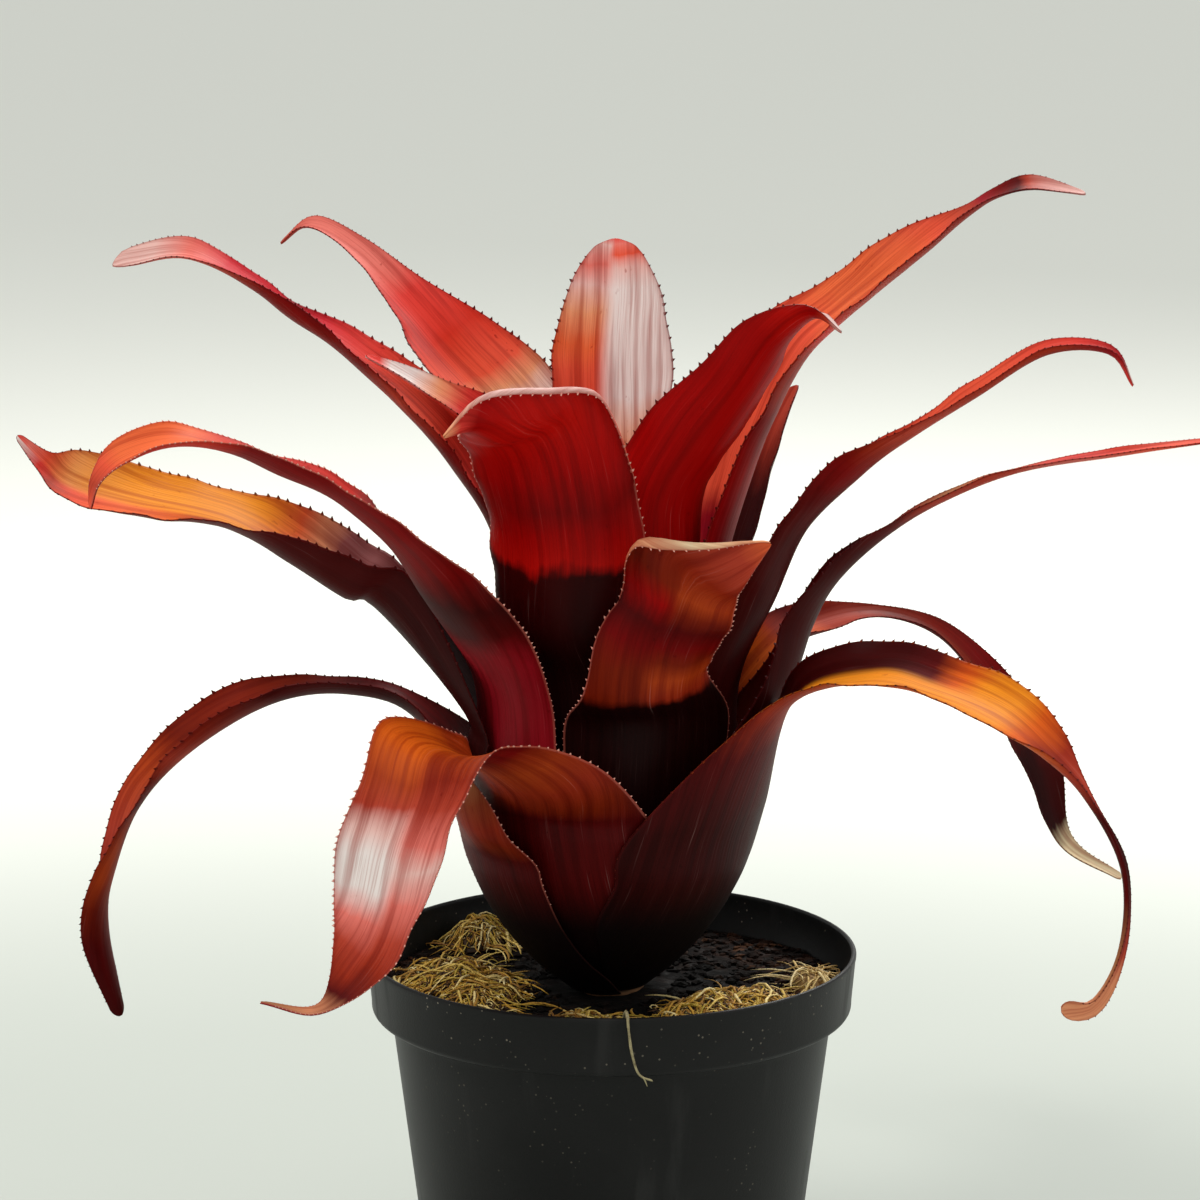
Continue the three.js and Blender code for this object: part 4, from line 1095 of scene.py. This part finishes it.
def chip(draw, centre, size):
    """The corners of a crumb of bark: an uneven lump, lying flat."""
    turn = Matrix.Rotation(draw.uniform(0, math.tau), 3, "Z")
    tip = Matrix.Rotation(draw.uniform(-0.5, 0.5), 3, "X")
    shape = Vector((draw.uniform(0.8, 1.7), draw.uniform(0.5, 0.9), draw.uniform(0.25, 0.6)))
    points = []
    for corner in CHIP_CORNERS:
        point = Vector(corner).normalized() * draw.uniform(0.75, 1.15)
        point = turn @ (tip @ Vector(a * b for a, b in zip(point, shape)))
        points.append(Vector(centre) + point * size)
    return points


def chip_faces():
    """Faces of a chip, from the hull of its regular form."""
    mesh = bmesh.new()
    for corner in CHIP_CORNERS:
        mesh.verts.new(corner)
    bmesh.ops.convex_hull(mesh, input=mesh.verts)
    mesh.verts.index_update()
    faces = [tuple(vertex.index for vertex in face.verts) for face in mesh.faces]
    mesh.free()
    return faces


MIX_RADIUS = 71.4
MIX_RINGS = 26
MIX_SIDES = 128
MIX_SEED = 11
CHIPS = 2400
CHIP_MARGIN = 1.5
CHIP_RAISE = 0.15
CHIP_SIZES = (0.7, 0.9, 1.1, 1.5, 2.2)
BARE_ROUND_STEM = 19.0


def mix_height(x, y):
    """The uneven top of the mix, which reaches into the undersides of the heaps on it."""
    low = noise.noise(Vector((x, y, 0.0)) * 0.06) * 1.0
    return MIX_TOP - 0.6 + low + noise.noise(Vector((x, y, 5.0)) * 0.25) * 0.5


def mix_piece():
    inside = WALL + CLEARANCE + 0.2
    bottom = FLOOR + CLEARANCE
    wall = [(0, bottom), (body_radius(bottom) - inside, bottom)]
    wall += [(SHOULDER_RADIUS - inside, SHOULDER), (BAND_FOOT_RADIUS - inside, BAND_FOOT + 0.8)]
    rings = [MIX_RADIUS * (1 - i / MIX_RINGS) for i in range(MIX_RINGS)]
    profile = wall + [(radius, MIX_TOP) for radius in rings] + [(0, MIX_TOP)]
    piece = revolved("bark_mix", profile, MIX_SIDES, mix_finish())
    draw = random.Random(MIX_SEED)
    for vertex in piece.data.vertices:
        if vertex.co.z > (MIX_TOP - 0.1) * MM:
            vertex.co.z = mix_height(vertex.co.x / MM, vertex.co.y / MM) * MM
    points, faces = [], []
    pattern = chip_faces()
    while len(points) < CHIPS * len(CHIP_CORNERS):
        radius = (MIX_RADIUS - CHIP_MARGIN) * math.sqrt(draw.random())
        angle = draw.uniform(0, math.tau)
        x, y = radius * math.cos(angle), radius * math.sin(angle)
        if radius < BARE_ROUND_STEM:
            continue
        size = draw.choice(CHIP_SIZES)
        corners = chip(draw, (x, y, mix_height(x, y) + CHIP_RAISE * size), size)
        add_part(points, faces, (corners, pattern))
    chips = mesh_object("bark_chips", points, faces, piece.data.materials[0], smooth=False)
    join(piece, chips)
    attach(piece, "root")
    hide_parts("potting_mix")


def join(piece, other):
    bpy.ops.object.select_all(action="DESELECT")
    piece.select_set(True)
    other.select_set(True)
    bpy.context.view_layer.objects.active = piece
    bpy.ops.object.join()


# Heaps of moss and straw: centre, half length, half width, height, turn in degrees and number
# of fibres

HEAPS = [
    dict(name="moss_left", x=-46, y=-9, length=31, width=18, height=6, turn=98, fibres=1500),
    dict(name="moss_front", x=-9, y=-48, length=13, width=9, height=4, turn=10, fibres=460),
    dict(name="moss_right", x=34, y=-31, length=25, width=14, height=6, turn=35, fibres=1150),
    dict(name="straw_right_edge", x=62, y=-3, length=17, width=6, height=5, turn=96, fibres=70),
    dict(name="moss_back_left", x=-41, y=46, length=14, width=9, height=8, turn=40, fibres=440),
]
STRAW_SHARE = {"straw": 0.9, "moss": 0.16}
STRAW = dict(curl=0.25, length=(9, 24), lift=(0.2, 2.2), radius=(0.3, 0.55), tone=(0.45, 1.0))
MOSS = dict(curl=1.1, length=(2.5, 8), lift=(0.1, 1.4), radius=(0.16, 0.36), tone=(0.0, 1.0))
FIBRE_SPREAD = 0.6
STRAY_SHARE = 0.12
STRAY_REACH = 1.25
FIBRE_TAPER = (0.35, 0.9, 1.0, 0.95, 0.75, 0.15)
FIBRE_FLATNESS = 0.6
FIBRE_RAISE = 0.2
HEAP_ROUNDNESS = 0.7
HEAP_RINGS = 8
HEAP_SIDES = 40
HEAP_SKIRT = 0.25
HEAP_FOOT = MIX_TOP + CLEARANCE
HEAP_RIM = 71.0
TUBE_SIDES = 4


def heap_height(heap, x, y):
    """How high the heap stands at a point, or the mix beside it."""
    turn = math.radians(heap["turn"])
    dx, dy = x - heap["x"], y - heap["y"]
    u = (dx * math.cos(turn) + dy * math.sin(turn)) / heap["length"]
    v = (dy * math.cos(turn) - dx * math.sin(turn)) / heap["width"]
    fill = max(0.0, 1 - (u * u + v * v))
    lumps = 0.75 + 0.5 * noise.noise(Vector((x, y, heap["length"])) * 0.12)
    return HEAP_FOOT + heap["height"] * fill ** HEAP_ROUNDNESS * lumps


def heap_point(heap, u, v):
    """The place of a point that lies u along the heap and v across it."""
    turn = math.radians(heap["turn"])
    x = heap["x"] + u * math.cos(turn) - v * math.sin(turn)
    y = heap["y"] + u * math.sin(turn) + v * math.cos(turn)
    return x, y


def tube(path, radii, flat=1.0):
    """A tube of a few sides along a path, with a radius at each of its points and closed ends."""
    points, faces = [], []
    for i, (point, radius) in enumerate(zip(path, radii)):
        ahead = path[min(i + 1, len(path) - 1)] - path[max(i - 1, 0)]
        ahead = ahead.normalized()
        side = ahead.cross(Vector((0, 0, 1)))
        side = side.normalized() if side.length > 0.01 else Vector((1, 0, 0))
        up = side.cross(ahead)
        for k in range(TUBE_SIDES):
            angle = math.tau * k / TUBE_SIDES
            across = side * math.cos(angle) * radius
            points.append(point + across + up * math.sin(angle) * radius * flat)
    for i in range(len(path) - 1):
        faces += band(i, TUBE_SIDES)
    end = (len(path) - 1) * TUBE_SIDES
    faces.append(tuple(range(TUBE_SIDES - 1, -1, -1)))
    faces.append(tuple(end + k for k in range(TUBE_SIDES)))
    return points, faces


def fibre_path(heap, draw, kind):
    """A bent dry stem that follows the top of its heap."""
    reach = draw.random() ** FIBRE_SPREAD * (STRAY_REACH if draw.random() < STRAY_SHARE else 1.0)
    angle = draw.uniform(0, math.tau)
    u = heap["length"] * reach * math.cos(angle)
    v = heap["width"] * reach * math.sin(angle)
    x, y = heap_point(heap, u, v)
    heading = draw.uniform(0, math.tau)
    curl = draw.uniform(-kind["curl"], kind["curl"])
    length = draw.uniform(*kind["length"])
    lift = draw.uniform(*kind["lift"])
    count = len(FIBRE_TAPER)
    path = []
    for i in range(count):
        share = i / (count - 1)
        radius = math.hypot(x, y)
        if radius > HEAP_RIM:
            x, y = x * HEAP_RIM / radius, y * HEAP_RIM / radius
        z = heap_height(heap, x, y) + FIBRE_RAISE + lift * math.sin(math.pi * share)
        path.append(Vector((x, y, z)))
        heading += curl
        x += math.cos(heading) * length / count
        y += math.sin(heading) * length / count
    return path


def heap_piece(heap, material, slot):
    """A low mound with a skirt down to the mix, covered in fibres."""
    draw = random.Random(heap["length"] * 31 + heap["width"])
    points, faces, places = [], [], []
    for ring in range(HEAP_RINGS + 1):
        for i in range(HEAP_SIDES):
            angle = math.tau * i / HEAP_SIDES
            share = ring / HEAP_RINGS
            u = heap["length"] * share * math.cos(angle)
            v = heap["width"] * share * math.sin(angle)
            x, y = heap_point(heap, u, v)
            points.append(Vector((x, y, heap_height(heap, x, y))))
            places.append((draw.uniform(0.0, 0.3), 0.0, 0.0))
    foot = len(points)
    for rim in points[-HEAP_SIDES:]:
        points.append(Vector((rim.x, rim.y, HEAP_FOOT - HEAP_SKIRT)))
        places.append((0.1, 0.0, 0.0))
    for ring in range(HEAP_RINGS + 1):
        faces += [(a, d, c, b) for a, b, c, d in band(ring, HEAP_SIDES)]
    faces.append(tuple(range(foot + HEAP_SIDES - 1, foot - 1, -1)))
    for _ in range(heap["fibres"]):
        kind = STRAW if draw.random() < STRAW_SHARE[slot] else MOSS
        path = fibre_path(heap, draw, kind)
        thick = draw.uniform(*kind["radius"])
        part = tube(path, [thick * share for share in FIBRE_TAPER], FIBRE_FLATNESS)
        add_part(points, faces, part)
        tone = draw.uniform(*kind["tone"])
        places += [(tone, i // TUBE_SIDES * 1.0, 0.0) for i in range(len(part[0]))]
    piece = mesh_object(heap["name"] + "_tuft", points, faces, material)
    carry(piece, "place", places)
    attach(piece, "root")
    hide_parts(heap["name"])


# A dry root that hangs over the rim, with a forked end

ROOT_PATH = [
    (2, -61, 124), (3, -67, 130), (4, -72.6, 136.4), (4.6, -76.2, 136.2), (5, -77.6, 132),
    (6, -77.6, 125), (8, -77.4, 119), (12, -77.4, 117),
]
ROOT_FORK = [(8, -77.4, 119), (9.5, -77.6, 117.6), (10.4, -77.6, 115.4)]
ROOT_RADIUS = 0.6
ROOT_STEPS = 8
ROOT_KNOBS = 0.18
ROOT_TIP = 0.3


def root_piece():
    points, faces = [], []
    for path, start, end in ((ROOT_PATH, 1.0, 0.5), (ROOT_FORK, 0.5, 0.2)):
        knots = [np.array(point, float) for point in path]
        count = ROOT_STEPS * (len(knots) - 1)
        line = [Vector(smooth_curve(knots, i / ROOT_STEPS)) for i in range(count + 1)]
        radii = []
        for i in range(len(line)):
            knob = 1 + ROOT_KNOBS * noise.noise(Vector((i * 0.45, start * 7, 0)))
            radii.append(ROOT_RADIUS * knob * (start + (end - start) * i / count))
        radii[-1] *= ROOT_TIP
        add_part(points, faces, tube(line, radii))
    piece = mesh_object("loose_root_strand", points, faces, root_finish())
    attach(piece, "root")
    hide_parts("loose_root")


def floor():
    mesh = bmesh.new()
    bmesh.ops.create_circle(mesh, cap_ends=True, segments=FLOOR_SIDES, radius=FLOOR_RADIUS)
    piece = object_of("studio_floor", mesh)
    piece.data.materials.append(floor_finish())


# The whole plant

photo_camera()
studio()
floor()
pot_piece()
mix_piece()
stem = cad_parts["stem"]
stem.data.materials.clear()
stem.data.materials.append(stem_finish())
finishes = {
    "moss": fibre_finish("moss_fibres", MOSS_COLORS),
    "straw": fibre_finish("straw_fibres", STRAW_COLORS),
}
for heap in HEAPS:
    slot = heap["name"].split("_")[0]
    heap_piece(heap, finishes[slot], slot)
root_piece()
for layer, leaf in enumerate(LEAVES):
    blade = leaf_piece(leaf, layer, leaf_finish(leaf))
